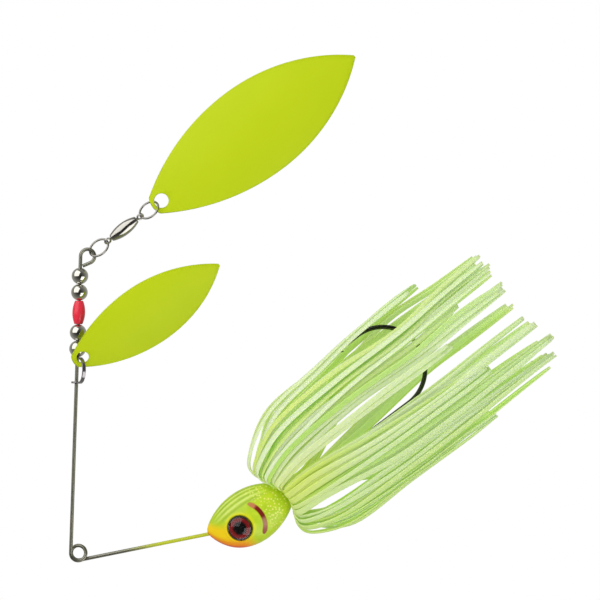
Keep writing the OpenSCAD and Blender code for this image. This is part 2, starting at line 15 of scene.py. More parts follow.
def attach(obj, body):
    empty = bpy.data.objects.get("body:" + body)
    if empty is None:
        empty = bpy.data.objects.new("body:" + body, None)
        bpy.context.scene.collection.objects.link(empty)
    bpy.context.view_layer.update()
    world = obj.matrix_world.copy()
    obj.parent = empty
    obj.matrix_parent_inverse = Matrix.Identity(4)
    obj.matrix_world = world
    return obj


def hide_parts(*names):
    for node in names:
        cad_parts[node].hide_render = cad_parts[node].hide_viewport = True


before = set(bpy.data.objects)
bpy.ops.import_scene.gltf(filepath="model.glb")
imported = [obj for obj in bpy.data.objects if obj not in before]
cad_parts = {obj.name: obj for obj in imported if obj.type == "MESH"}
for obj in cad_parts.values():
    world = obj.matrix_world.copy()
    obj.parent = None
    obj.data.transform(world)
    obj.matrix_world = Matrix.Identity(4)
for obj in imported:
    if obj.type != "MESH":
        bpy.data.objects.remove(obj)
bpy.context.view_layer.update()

# %% [markdown]
# ## The camera, the floor and the light
#
# The lure hangs from its line tie, so the floor is well below it. The picture looks square at the wire's
# plane through a long lens and is rolled: the plumb line runs up to the right. A constraint could aim the
# camera, but its three axes, written as the columns of a matrix, say the roll exactly.

# %% Camera
ROLL_COS, ROLL_SIN = 0.60182, 0.79864
RIGHT = np.array([-ROLL_COS, 0.0, -ROLL_SIN])
UP = np.array([ROLL_SIN, 0.0, -ROLL_COS])
BACK = np.array([0.0, -1.0, 0.0])
VIEW_MIDDLE = np.array([0.0172, 0.0, -0.0824])
VIEW_WIDTH, VIEW_AWAY, SENSOR = 0.15, 0.62, 36.0


def stood(name, data, axes, spot):
    """A camera or a light at a spot, with its three axes as the columns of its matrix."""
    thing = bpy.data.objects.new(name, data)
    bpy.context.scene.collection.objects.link(thing)
    thing.matrix_world = Matrix(np.vstack([np.column_stack([*axes, spot]), [0, 0, 0, 1]]).tolist())
    return thing


lens = bpy.data.cameras.new("view_lens")
lens.sensor_width = SENSOR
lens.lens = SENSOR * VIEW_AWAY / VIEW_WIDTH
lens.clip_start = 0.01
bpy.context.scene.camera = stood("viewer", lens, (RIGHT, UP, BACK), VIEW_MIDDLE + VIEW_AWAY * BACK)
print("lens of", round(lens.lens, 1), "mm, from", VIEW_AWAY, "m away")

# %% [markdown]
# A material is a tree of nodes, and each socket holds a fixed value or takes another node's output. Trees
# can be drawn in the shader editor. In a script, a helper that adds a node and feeds its sockets keeps a
# finish readable.

# %% Nodes and sockets
def feed(tree, node, sockets):
    """Gives each socket, by name or number, a node's output or a fixed value. A colour is three numbers."""
    for key, value in sockets.items():
        socket = node.inputs[key]
        if isinstance(value, bpy.types.NodeSocket):
            tree.links.new(value, socket)
        else:
            socket.default_value = value + (1,) if socket.type == "RGBA" else value


def add(tree, kind, sockets=None, **settings):
    """A new node of a kind, with its settings made and its sockets fed."""
    node = tree.nodes.new("ShaderNode" + kind)
    for name, value in settings.items():
        setattr(node, name, value)
    feed(tree, node, sockets or {})
    return node


def shade(tree, sockets):
    """Feeds a material's main shader."""
    feed(tree, tree.nodes["Principled BSDF"], sockets)


def finish_of(name, sockets):
    """A new material and its node tree, with values on its main shader."""
    look = bpy.data.materials.new(name)
    look.use_nodes = True
    shade(look.node_tree, sockets)
    return look, look.node_tree


def dress(look, *pieces):
    """Puts a material on pieces."""
    for piece in pieces:
        piece.data.materials.append(look)
    print(look.name, "on", [piece.name for piece in pieces])


# %% Floor
FLOOR_X, FLOOR_Z, FLOOR_R, FLOOR_SIDES = 0.02, -0.30, 0.45, 96
turn = np.linspace(0, 2 * np.pi, FLOOR_SIDES, endpoint=False)
rim = np.stack([FLOOR_X + FLOOR_R * np.cos(turn), FLOOR_R * np.sin(turn), np.full(FLOOR_SIDES, FLOOR_Z)], 1)
floor_mesh = bpy.data.meshes.new("floor")
floor_mesh.from_pydata(rim.tolist(), [], [list(range(FLOOR_SIDES))])
floor = bpy.data.objects.new("floor", floor_mesh)
bpy.context.scene.collection.objects.link(floor)
floor.visible_glossy = False
floor_look, tree = finish_of("pale_floor", {"Base Color": (0.86, 0.86, 0.85), "Roughness": 0.7})
dress(floor_look, floor)

# %% [markdown]
# The metal beads show what stands round the lure, a dim room and a soft white panel on each side. Paint
# and strands show only how much light arrives. So the sky is white to the camera, soft to paint and, to
# metal, a room that is dark on the camera's side. Two area lights are the panels.

# %% Sky and lights
SKY_PALE, ROOM_AHEAD, ROOM_BEHIND = 0.4, 0.02, 0.5
sky = bpy.data.worlds.new("studio_sky")
bpy.context.scene.world = sky
sky.use_nodes = True
tree = sky.node_tree
tree.nodes.clear()
seen = add(tree, "LightPath").outputs


def backdrop(tone, strength):
    """A plain sky of one tone. Its strength is a number or another node's output."""
    return add(sky.node_tree, "Background", {"Color": tone, "Strength": strength}).outputs[0]


def sky_choice(ray, other, chosen):
    """One sky for rays of a kind, and another for the rest."""
    return add(sky.node_tree, "MixShader", {0: seen[ray], 1: other, 2: chosen}).outputs[0]


way = add(tree, "SeparateXYZ", {0: add(tree, "TexCoord").outputs["Generated"]}).outputs["Y"]
room = add(tree, "MapRange", {"Value": way, "From Min": -1.0, "To Min": ROOM_AHEAD, "To Max": ROOM_BEHIND})
dim_room = backdrop((1, 1, 0.94), room.outputs["Result"])
soft_sky = sky_choice("Is Glossy Ray", backdrop((1, 1, 0.98), SKY_PALE), dim_room)
add(tree, "OutputWorld", {"Surface": sky_choice("Is Camera Ray", soft_sky, backdrop((1, 1, 1), 1.0))})


def unit(v):
    """Each row of v divided by its own length."""
    return v / np.linalg.norm(v, axis=-1, keepdims=True)


def panel(name, across, along, toward, away, size, power):
    """A square light panel that faces the view's middle from a distance away, in a direction made of
    steps across and along the picture and toward the camera."""
    offset = unit(across * RIGHT + along * UP + toward * BACK)
    side = unit(np.cross(UP, offset))
    light = bpy.data.lights.new(name, "AREA")
    light.shape = "RECTANGLE"
    light.size = light.size_y = size
    light.energy = power
    return stood(name, light, (side, np.cross(offset, side), offset), VIEW_MIDDLE + away * offset)


panel("panel_upper_left", -0.85, 0.8, 0.8, 0.7, 1.0, 4.6)
panel("panel_lower_right", 0.75, -0.7, 0.7, 0.7, 0.66, 2.5)

# %% [markdown]
# ## The tools of the bench
#
# Every piece is a grid of points with two parameters. One helper turns a grid into a closed mesh, one
# carries a profile along a path, and one turns a profile about an axis. Scaled and joined primitives
# would do, but a formula keeps each size where it can be read.

# %% A skin over a grid of points
MM = 0.001
WELD_M = 1e-7


def skin(name, P, close=(False, True), caps=True, fields=None, weld=False):
    """A mesh over one grid, or a stack of equal grids, of points in millimetres. Point (i, j) shares a
    face with (i+1, j), (i+1, j+1) and (i, j+1); close joins the last row or column to the first, and caps
    fill the end rows. The UV map is (i, j) over the grid's counts. The sign of the enclosed volume, a sum
    of corner triple products, tells whether the faces have to be turned outwards."""
    P = np.asarray(P, float)
    P = P[None] if P.ndim == 3 else P
    n, nu, nv = P.shape[:3]
    steps_u, steps_v = nu - (not close[0]), nv - (not close[1])
    i, j = np.meshgrid(np.arange(steps_u), np.arange(steps_v), indexing="ij")
    ci = np.stack([i, i + 1, i + 1, i], -1).reshape(-1, 4)
    cj = np.stack([j, j, j + 1, j + 1], -1).reshape(-1, 4)
    first = np.arange(n)[:, None, None] * nu * nv
    quads = ((ci % nu) * nv + cj % nv)[None] + first
    uv = np.stack([ci / steps_u, cj / steps_v], -1)
    rows, maps = [quads.reshape(-1, 4)], [np.tile(uv.reshape(-1, 2), (n, 1))]
    if caps and not close[0]:
        ring = np.arange(nv)
        for u, order in ((0, ring), (1, ring[::-1])):
            rows.append(first[:, 0] + u * (nu - 1) * nv + order)
            maps.append(np.tile(np.stack([0 * order + u, order / nv], 1), (n, 1)))
    points = P.reshape(-1, 3)
    centre = points.mean(0)
    volume = 0.0
    for r in rows:
        q = points[r] - centre
        for k in range(1, r.shape[1] - 1):
            volume += np.einsum("ij,ij->", q[:, 0], np.cross(q[:, k], q[:, k + 1]))
    if volume < 0:
        maps = [m.reshape(r.shape + (2,))[:, ::-1].reshape(-1, 2) for m, r in zip(maps, rows)]
        rows = [r[:, ::-1] for r in rows]
    sizes = np.concatenate([np.full(len(r), r.shape[1]) for r in rows])
    corners = np.concatenate([r.ravel() for r in rows])
    mesh = bpy.data.meshes.new(name)
    mesh.vertices.add(len(points))
    mesh.vertices.foreach_set("co", (points * MM).astype(np.float32).ravel())
    mesh.loops.add(len(corners))
    mesh.loops.foreach_set("vertex_index", corners.astype(np.int32))
    mesh.polygons.add(len(sizes))
    mesh.polygons.foreach_set("loop_start", (np.cumsum(sizes) - sizes).astype(np.int32))
    mesh.polygons.foreach_set("use_smooth", np.ones(len(sizes), bool))
    mesh.update(calc_edges=True)
    layer = mesh.uv_layers.new(name="UVMap")
    layer.data.foreach_set("uv", np.concatenate(maps).astype(np.float32).ravel())
    for field_name, values in (fields or {}).items():
        spot = mesh.attributes.new(field_name, "FLOAT", "POINT")
        spot.data.foreach_set("value", np.broadcast_to(values, (n, nu, nv)).astype(np.float32).ravel())
    if weld:
        bm = bmesh.new()
        bm.from_mesh(mesh)
        bmesh.ops.remove_doubles(bm, verts=bm.verts, dist=WELD_M)
        bm.to_mesh(mesh)
        bm.free()
    piece = bpy.data.objects.new(name, mesh)
    bpy.context.scene.collection.objects.link(piece)
    return piece


# %% Curves, sweeps and turnings
def ease(value, start=0.0, over=1.0):
    """Smooth step: 0 at start, 1 a width further on, or further back where the width is negative, and
    3t^2 - 2t^3 between, with t the share of the way."""
    t = np.clip((value - start) / over, 0.0, 1.0)
    return t * t * (3 - 2 * t)


def squared(c, power):
    """A cosine or sine made squarer: its sign times its size to a power below 1."""
    return np.sign(c) * np.abs(c) ** np.array(power)


def in_plane(x, z):
    """Points in the wire's plane from their x and z."""
    x, z = np.broadcast_arrays(x, z)
    return np.stack([x, 0 * z, z], 1)


def through(points, t):
    """Smooth curves through rows of points, with t from 0 to 1 along each: in every span the cubic whose
    slope at a point is half the step between its neighbours."""
    last = points.shape[-2] - 1
    i = np.minimum((t * last).astype(int), last - 1)
    u = (t * last - i)[..., None]
    near = [np.clip(i + k, 0, last)[..., None] for k in (-1, 0, 1, 2)]
    p0, p1, p2, p3 = (np.take_along_axis(points, k, -2) for k in near)
    return p1 + u / 2 * (p2 - p0 + u * (2 * p0 - 5 * p1 + 4 * p2 - p3 + u * (3 * (p1 - p2) + p3 - p0)))


def carried(path, profile, up):
    """A profile of [sideways, upward] points carried along a path, square to it and with up as near to
    upward as it allows: path(i) + sideways(j) x side(i) + upward(j) x lift(i)."""
    along = unit(np.gradient(path, axis=0))
    side = unit(np.cross(along, np.asarray(up, float)))
    lift = np.cross(side, along)
    profile = np.broadcast_to(profile, (len(path),) + profile.shape[-2:])
    return path[:, None] + profile[..., :1] * side[:, None] + profile[..., 1:] * lift[:, None]


def circle(radius, sides):
    """Points round a circle: radius times (cos, sin)."""
    a = np.linspace(0, 2 * np.pi, sides, endpoint=False)
    return radius * np.stack([np.cos(a), np.sin(a)], 1)


def turned(profile, centre, axis, side, sides):
    """A profile of [radius, height] points turned about an axis: centre + height x axis + radius x (cos,
    sin) of the turn on two directions square to the axis."""
    axis = unit(np.asarray(axis, float))
    x = unit(np.asarray(side, float) - np.dot(side, axis) * axis)
    y = np.cross(axis, x)
    a = np.linspace(0, 2 * np.pi, sides, endpoint=False)[:, None, None]
    return centre + profile[None, :, 1:] * axis + profile[None, :, :1] * (np.cos(a) * x + np.sin(a) * y)


def mirrored(profile):
    """The same profile at the other end, in reverse order."""
    return (profile * [1, -1])[::-1]


def fitted(piece, body, slot, *nodes):
    """Gives a piece to its body, and says which solids it stands for, if any. Its slot, the finish it
    takes, is not used.
    """
    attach(piece, body)
    if nodes:
        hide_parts(*nodes)
    print(piece.name, "on", body, "with", len(piece.data.polygons), "faces")
    return piece


# %% [markdown]
# ## Finishes
#
# A finish is a shader with the detail the real surface shows. Two effects are shared: a fine grain that
# roughens polished metal, and the slight orange-peel skin of sprayed paint. Each is built once as a node
# group.

# %% Values and colours in a tree
def linear(r, g, b):
    """A colour given on a 0 to 255 screen scale, made linear with the power 2.2."""
    return tuple((v / 255.0) ** 2.2 for v in (r, g, b))


def worked(tree, operation, *values):
    """The result of one sum on numbers and other nodes' outputs."""
    return add(tree, "Math", dict(enumerate(values)), operation=operation).outputs[0]


def noise(tree, scale, detail):
    """Noise over a piece's own coordinates."""
    where = add(tree, "TexCoord").outputs["Object"]
    return add(tree, "TexNoise", {"Vector": where, "Scale": scale, "Detail": detail}).outputs["Fac"]


def fibre(tree, stretch, detail):
    """Noise drawn out along a piece's UV map, with so many cells along u and v."""
    where = add(tree, "Mapping", {"Vector": add(tree, "UVMap").outputs["UV"], "Scale": stretch + (1.0,)})
    sockets = {"Vector": where.outputs["Vector"], "Scale": 1.0, "Detail": detail}
    return add(tree, "TexNoise", sockets).outputs["Fac"]


def spread(tree, value, sockets):
    """A value spread over another range."""
    return add(tree, "MapRange", {"Value": value, **sockets}).outputs["Result"]


def field(tree, name, share=None):
    """The value of a mesh field at each point, or a share of it."""
    value = add(tree, "Attribute", attribute_name=name).outputs["Fac"]
    return worked(tree, "MULTIPLY", value, share) if share else value


def mixed(tree, factor, a, b):
    """A colour between a and b. Each is a fixed colour or another node's output."""
    return add(tree, "Mix", {"Factor": factor, "A": a, "B": b}, data_type="RGBA").outputs["Result"]


def layered(tree, tone, layers):
    """Colours laid over a tone one after the other, each as (mask, screen colour)."""
    for mask, colour in layers:
        tone = mixed(tree, mask, tone, linear(*colour))
    return tone


def graded(tree, value, stops):
    """A colour ramp over a value, with its stops as (place, screen colour)."""
    ramp = add(tree, "ValToRGB", {"Fac": value})
    while len(ramp.color_ramp.elements) < len(stops):
        ramp.color_ramp.elements.new(0.5)
    for spot, (at, colour) in zip(ramp.color_ramp.elements, stops):
        spot.position = at
        spot.color = linear(*colour) + (1,)
    return ramp.outputs["Color"]


def bumped(tree, height, strength, depth):
    """A height turned into the normal of a material's main shader. depth is in metres."""
    bump = add(tree, "Bump", {"Strength": strength, "Distance": depth, "Height": height})
    shade(tree, {"Normal": bump.outputs["Normal"]})


# %% Shared effects
GRAIN_DEPTH, PEEL_DEPTH = 0.00005, 0.0001


def group(name, inputs, outputs):
    """An empty shader node group with named sockets, and the ways in and out of it. A value of four
    numbers, and the output Color, are colours."""
    tree = bpy.data.node_groups.new(name, "ShaderNodeTree")
    for socket, value in inputs.items():
        kind = "NodeSocketColor" if isinstance(value, tuple) else "NodeSocketFloat"
        tree.interface.new_socket(socket, in_out="INPUT", socket_type=kind).default_value = value
    for socket in outputs:
        kind = "NodeSocketColor" if socket == "Color" else "NodeSocketFloat"
        tree.interface.new_socket(socket, in_out="OUTPUT", socket_type=kind)
    return tree, tree.nodes.new("NodeGroupInput").outputs, tree.nodes.new("NodeGroupOutput")


grain, given, put = group(
    "metal_grain",
    {"Scale": 900.0, "Low": 0.08, "High": 0.2},
    ("Roughness", "Height"),
)
specks = noise(grain, given["Scale"], 4.0)
ends = {"From Min": 0.3, "From Max": 0.7, "To Min": given["Low"], "To Max": given["High"]}
feed(grain, put, {"Roughness": spread(grain, specks, ends), "Height": specks})

peel, given, put = group(
    "sprayed_paint",
    {"Scale": 400.0, "Cloud": 90.0, "Paint": (0.5, 0.6, 0.02, 1), "Thin": (0.45, 0.5, 0.02, 1)},
    ("Color", "Roughness", "Height"),
)
pores = noise(peel, given["Scale"], 2.0)
cloudy = mixed(peel, noise(peel, given["Cloud"], 3.0), given["Paint"], given["Thin"])
satin = spread(peel, pores, {"To Min": 0.34, "To Max": 0.5})
feed(peel, put, {"Color": cloudy, "Roughness": satin, "Height": pores})


def grained(tree, scale, low, high, strength=None):
    """The metal grain on a material: its roughness from low to high, and its skin where a strength is
    given."""
    fine = add(tree, "Group", {"Scale": scale, "Low": low, "High": high}, node_tree=grain).outputs
    shade(tree, {"Roughness": fine["Roughness"]})
    if strength:
        bumped(tree, fine["Height"], strength, GRAIN_DEPTH)


def painted(tree, strength, sockets):
    """Sprayed paint on a material: its roughness and its skin. What comes back is its colour."""
    coat = add(tree, "Group", sockets, node_tree=peel).outputs
    shade(tree, {"Roughness": coat["Roughness"]})
    bumped(tree, coat["Height"], strength, PEEL_DEPTH)
    return coat["Color"]


print("shared effects:", grain.name, peel.name)

# %% Polished metals
METAL_SKIN = 0.04


def polished(name, tone, low, high, scale):
    """A bright metal whose roughness and skin vary with a fine grain."""
    look, tree = finish_of(name, {"Base Color": tone, "Metallic": 1.0})
    grained(tree, scale, low, high, METAL_SKIN)
    return look


bead_nickel = polished("bead_nickel", (0.66, 0.64, 0.58), 0.05, 0.14, 1500.0)
swivel_nickel = polished("swivel_nickel", (0.52, 0.50, 0.46), 0.08, 0.2, 1800.0)
ring_steel = polished("ring_steel", (0.40, 0.385, 0.35), 0.12, 0.26, 2200.0)
clevis_steel = polished("clevis_steel", (0.34, 0.32, 0.33), 0.12, 0.28, 2000.0)
hook_steel = polished("black_nickel_hook", (0.07, 0.07, 0.072), 0.12, 0.3, 1800.0)
print("metals:", [m.name for m in (bead_nickel, swivel_nickel, ring_steel, clevis_steel, hook_steel)])

# %% [markdown]
# ## The bent wire
#
# One stainless wire is the lure's whole frame: an eye, the blade arm, a coil and a half where the line is
# tied, and the arm that is cast into the head. A bevelled curve would do, but arcs and straights are
# simple to write, and a swept circle keeps the bends round.

# %% Route of the wire
WIRE_D = 0.9
COIL_R, COIL_RISE = 1.85, 1.6
ARM_LEAN, LEG_LEAN = np.radians(51.1), np.radians(25.4)
ARM_LEN, LEG_LEN, BEND_ROOM = 74.3, 43.0, 0.4
EYE_R, EYE_TURN = 1.75, np.radians(245)
TAIL_STEPS, TAIL_ROUND = (2.1, 2.04, 1.95, 0.9, 0.15), (0.38, 0.43, 0.45)
arm_along = np.array([np.sin(ARM_LEAN), 0, -np.cos(ARM_LEAN)])
arm_out = np.array([np.cos(ARM_LEAN), 0, np.sin(ARM_LEAN)])


def on_arm(s):
    """A point of the blade arm's axis at a distance s from the coil."""
    return COIL_R * arm_out + np.multiply.outer(s, arm_along)


eye_centre = on_arm(ARM_LEN) - EYE_R * arm_out
turn = np.linspace(ARM_LEAN - EYE_TURN, ARM_LEAN, 60)
eye_arc = eye_centre + EYE_R * in_plane(np.cos(turn), np.sin(turn))
tail = eye_arc[0] + np.outer(TAIL_STEPS, [np.sin(turn[0]), 0, -np.cos(turn[0])])
arm = on_arm(np.linspace(ARM_LEN - BEND_ROOM, BEND_ROOM, 60))
u = np.linspace(0, 1, 150)
sweep = ARM_LEAN + (3 * np.pi - LEG_LEAN - ARM_LEAN) * u
coil = np.stack([COIL_R * np.cos(sweep), COIL_RISE * ease(u), COIL_R * np.sin(sweep)], 1)
leg_along = unit(np.array([-np.sin(LEG_LEAN), -COIL_RISE / LEG_LEN, -np.cos(LEG_LEAN)]))
leg = coil[-1] + np.outer(np.linspace(BEND_ROOM, LEG_LEN, 80), leg_along)
wire_path = np.concatenate([tail, eye_arc, arm, coil, leg])
print("wire length", round(np.linalg.norm(np.diff(wire_path, axis=0), axis=1).sum(), 1), "mm")

# %% Wire surface
SPRAY_FROM, SPRAY_OVER, SPRAY_SIDE = 8.5, 10.0, -1.0
thick = np.full(len(wire_path), WIRE_D / 2)
thick[:3] = TAIL_ROUND
tube = carried(wire_path, thick[:, None, None] * circle(1.0, 28), (0, 1, 0))
spray = ease(-wire_path[:, 2], SPRAY_FROM, SPRAY_OVER) * (wire_path[:, 0] < SPRAY_SIDE)
bent_wire = skin("bent_wire", tube, fields={"spray": spray[None, :, None]})
fitted(bent_wire, "lure", "stainless_wire", "wire_form")

# %% Stainless wire, with the head's paint drifting up the leg
wire_look, tree = finish_of("drawn_stainless", {})
grained(tree, 1400.0, 0.3, 0.44, 0.06)
tone = mixed(tree, field(tree, "spray"), (0.30, 0.295, 0.23), linear(190, 200, 36))
shade(tree, {"Base Color": tone, "Metallic": worked(tree, "SUBTRACT", 1.0, field(tree, "spray"))})
dress(wire_look, bent_wire)

# %% [markdown]
# ## The lead head
#
# The head is cast lead, shaped like a small fish's head: pointed where the wire goes in, fullest behind
# the eyes, drawn in to a keeper under the skirt. It is a loft of rounded ovals, on a grid fine enough to
# carry the moulded detail as geometry and the paint's zones as fields, among them a painted highlight on
# the ridge lines and painted shade in the grooves.

# %% Head form
NOSE_Z, HEAD_LEN, HEAD_W, HEAD_T = -28.9, 23.0, 13.6, 9.4
SHANK_X, KEEPER_R, KEEPER_END = -19.7, 1.95, -57.0
MIDDLE_X, NOSE_IN, NOSE_FADE, REAR_OUT = -18.7, 2.9, 0.09, 1.0
BROW_W, BROW_AT, KEEPER_IN = 1.0, 0.18, (0.8, 0.1)
GIRTH_POWER, OVAL_POWER = 0.55, 2 / 2.2
FIRST_STATION, STATIONS = 0.004, 0.984
ROWS, COLS = 230, 300

station = FIRST_STATION + STATIONS * (1 - np.cos(np.linspace(0, np.pi, ROWS))) / 2
round_a = np.linspace(0, 2 * np.pi, COLS, endpoint=False)
U, A = np.meshgrid(station, round_a, indexing="ij")


def head_form(U, A):
    """Head surface at station u from nose to keeper and angle A: ovals of sin(pi u)^0.55 of the half
    width and thickness, on a middle line from the nose's point in to the body and on to the shank."""
    girth = np.sin(np.pi * U) ** GIRTH_POWER
    middle = MIDDLE_X + NOSE_IN * np.exp(-U / NOSE_FADE) - REAR_OUT * U**6
    keeper = KEEPER_R * ease(U, *KEEPER_IN)
    brow = np.where(np.cos(A) > 0, U / BROW_AT * np.exp(1 - U / BROW_AT), 0)
    half_w = np.maximum(HEAD_W / 2 * girth + BROW_W * brow, keeper)
    half_t = np.maximum(HEAD_T / 2 * girth, keeper)
    x = middle + half_w * squared(np.cos(A), OVAL_POWER)
    return np.stack([x, -half_t * squared(np.sin(A), OVAL_POWER), NOSE_Z - HEAD_LEN * U], -1)


head_grid = head_form(U, A)
X, Y, Z = np.moveaxis(head_grid, -1, 0).copy()
print("head from", round(Z.max(), 1), "to", round(Z.min(), 1), "mm")

# %% Moulded detail and paint zones of the head
EYE_X, EYE_Z, EYE_D = -19.1, -36.4, 6.3
GILL_X, GILL_Z, GILL_R, GILL_HALF = -19.0, -37.2, 5.7, 0.66
GILL_FROM, GILL_SPAN, GILL_TAPER, GILL_BLUNT, GILL_SOFT = -149, 99, 5, 0.3, 0.2
RIDGES, RIDGE_WIDTH, RIDGE_H = (24, 38, 52), 0.05, 0.07
GROOVES, GROOVE_WIDTH, GROOVE_H = (17, 31, 45, 59), 0.06, 0.05
LIP_R, LIP_WIDTH, LIP_H, GILL_H = 3.55, 0.3, 0.16, 0.16
SEAT_FLAT, SEAT_SLOPE, SEAT_EDGE = 3.42, 0.176, (3.3, -0.22)
SWELL_X, SWELL_SIDE = -18.9, 1.6
KEEPER_STEP, KEEPER_ROWS = 0.4, 12
# The edges of the zones, each as the start and the width of its ease
STREAK_IN, STREAK_OUT = (0.1, 0.2), (0.86, -0.25)
FRONT, RED_FRONT, REAR = (0.42, -0.2), (0.36, -0.2), (0.52, 0.22)
YELLOW, ORANGE, RED, HALO = (8.4, -3.4), (3.5, -2.6), (1.1, -0.9), (4.4, -1.2)

from_eye = np.hypot(X - EYE_X, Z - EYE_Z)
gill_way = (np.degrees(np.arctan2(Z - GILL_Z, X - GILL_X)) - GILL_FROM) / GILL_SPAN
gill_mid = 1 - np.abs(2 * gill_way - 1)
gill_half = GILL_HALF * np.clip(GILL_TAPER * gill_mid, 0, 1) ** GILL_BLUNT
gill_off = np.abs(np.hypot(X - GILL_X, Z - GILL_Z) - GILL_R)
gill = ease(gill_half, gill_off, GILL_SOFT) * (gill_mid > 0)
streak_span = ease(U, *STREAK_IN) * ease(U, *STREAK_OUT)


def lines_at(degrees, width):
    """Fine lines from nose to rear at angles above the eye on both sides: a bell curve of the angle."""
    off = [(A - sign * np.radians(d) + np.pi) % (2 * np.pi) - np.pi for d in degrees for sign in (1, -1)]
    return streak_span * sum(np.exp(-((o / width) ** 2)) for o in off)


ridge, groove = lines_at(RIDGES, RIDGE_WIDTH), lines_at(GROOVES, GROOVE_WIDTH)
lip = np.exp(-(((from_eye - LIP_R) / LIP_WIDTH) ** 2))
swell = LIP_H * lip + RIDGE_H * ridge - GROOVE_H * groove - GILL_H * gill
head_grid = head_grid + swell[..., None] * unit(np.stack([X - SWELL_X, SWELL_SIDE * Y, 0 * Z], -1))
seat = np.abs(Y) - (SEAT_FLAT + SEAT_SLOPE * (EYE_Z - Z))
head_grid[..., 1] -= np.sign(Y) * np.where(seat > 0, seat, 0) * ease(from_eye, *SEAT_EDGE)
keeper_z = np.linspace(head_grid[-1, 0, 2] - KEEPER_STEP, KEEPER_END, KEEPER_ROWS)[:, None]
keeper_ring = circle(KEEPER_R, COLS)
keeper = np.broadcast_arrays(SHANK_X + keeper_ring[:, 0], -keeper_ring[:, 1], keeper_z)

from_chin = X - X[:, COLS // 2, None]
front = ease(U, *FRONT)
zones = {
    "yellow": ease(from_chin, *YELLOW) * front,
    "orange": ease(from_chin, *ORANGE) * front,
    "red_edge": ease(from_chin, *RED) * ease(U, *RED_FRONT),
    "gill": gill,
    "gill_way": np.clip(gill_way, 0, 1),
    "halo": ease(from_eye, *HALO),
    "ridge_highlight": ridge,
    "groove": groove,
    "rear": ease(U, *REAR),
}
zones = {zone: np.concatenate([v, np.repeat(v[-1:], KEEPER_ROWS, 0)]) for zone, v in zones.items()}
lead_head = skin("lead_head", np.concatenate([head_grid, np.stack(keeper, -1)]), fields=zones)
fitted(lead_head, "lure", "head_paint", "head")

# %% Head paint: chartreuse, yellow nose, orange chin, red gill, a glint of scale flake, painted highlight on the ridge lines and painted shade in the grooves
GILL_STOPS = [(0.0, (150, 56, 46)), (0.13, (156, 70, 54)), (0.26, (178, 122, 90)), (0.4, (170, 112, 84)),
              (0.48, (124, 18, 10)), (0.76, (130, 22, 10)), (0.83, (206, 122, 80)), (1.0, (196, 128, 80))]
head_look, tree = finish_of("head_paint", {
    "Specular IOR Level": 0.35, "Coat Weight": 0.35, "Coat Roughness": 0.12,
})
chartreuse = {"Paint": linear(156, 200, 2), "Thin": linear(218, 238, 48)}
tone = painted(tree, 0.08, {"Scale": 700.0, "Cloud": 420.0, **chartreuse})
flake_where = add(tree, "TexCoord").outputs["Object"]
flake = add(tree, "TexVoronoi", {"Vector": flake_where, "Scale": 1500.0}).outputs["Distance"]
flake = spread(tree, flake, {"From Min": 0.46, "From Max": 0.2})
# The ridge lines are painted a paler green, a painted highlight, and the grooves a darker green, painted
# shade in the recesses
tone = layered(tree, tone, [
    (field(tree, "groove", 0.6), (128, 168, 4)),
    (field(tree, "ridge_highlight"), (216, 238, 112)),
    (worked(tree, "MULTIPLY", flake, field(tree, "rear")), (240, 246, 120)),
    (field(tree, "halo"), (226, 226, 8)),
    (field(tree, "yellow"), (255, 216, 0)),
    (field(tree, "orange"), (255, 146, 0)),
    (field(tree, "red_edge"), (232, 66, 8)),
])
tone = mixed(tree, field(tree, "gill"), tone, graded(tree, field(tree, "gill_way"), GILL_STOPS))
shade(tree, {"Base Color": tone})
dress(head_look, lead_head)

# %% [markdown]
# ## The eyes
#
# Each side of the head has a stick-on eye: a printed disc, dark red round a black pupil, under a clear
# domed lens. The disc dips a little towards its middle. The lens is a cap of a sphere, and real glass, so
# the print shifts under it as the view turns.

# %% Eye discs and lenses
SEAT_Y, SEAT_TILT, DISC_T, DOME_H = 3.5, np.radians(10), 0.35, 1.5
DISC_DIP, DISC_EDGE, DISC_BEVEL, LENS_GAP = 0.12, 0.06, 0.05, 0.01
EYE_SIDES = (("near", -1), ("far", 1))
eye_r = EYE_D / 2


def seated(name, side, profile, slot, node, fields=None):
    """A profile turned about the outward axis of the eye's seat. side is -1 near and 1 far."""
    out = (0, side * np.cos(SEAT_TILT), np.sin(SEAT_TILT))
    P = turned(profile, np.array([EYE_X, side * SEAT_Y, EYE_Z]), out, (1, 0, 0), 96)
    piece = skin(name, P, close=(True, False), caps=False, weld=True, fields=fields)
    return fitted(piece, "lure", slot, node)


def disc_profile():
    """Disc: height = thickness - dip (1 - r^2 / R^2) from middle to rim, closed by its back. With it
    comes the share of the radius at each point."""
    share = np.linspace(0, 1, 40)
    r = np.concatenate([(eye_r - DISC_EDGE) * share, [eye_r, eye_r], np.linspace(eye_r, 0, 4)])
    h = np.concatenate([DISC_T - DISC_DIP * (1 - share**2), [DISC_T - DISC_BEVEL, 0.0], np.zeros(4)])
    return np.stack([r, h], 1), np.concatenate([share, np.ones(6)])


def lens_profile():
    """Lens: a cap of the sphere that rises DOME_H over the disc's radius, on the disc's plane."""
    ball = (eye_r**2 + DOME_H**2) / (2 * DOME_H)
    tilt = np.linspace(0, np.arcsin(eye_r / ball), 36)
    r = np.concatenate([ball * np.sin(tilt), np.linspace(eye_r, 0, 5)[1:]])
    h = np.concatenate([DOME_H - ball * (1 - np.cos(tilt)), np.zeros(4)]) + DISC_T + LENS_GAP
    return np.stack([r, h], 1)


disc, share = disc_profile()
reach = {"reach": share[None, None]}
discs = [seated(f"{k}_eye_disc", side, disc, "eye_print", f"{k}_iris", reach) for k, side in EYE_SIDES]
dome = lens_profile()
lenses = [seated(f"{k}_eye_lens", side, dome, "eye_clear", f"{k}_eye_dome") for k, side in EYE_SIDES]

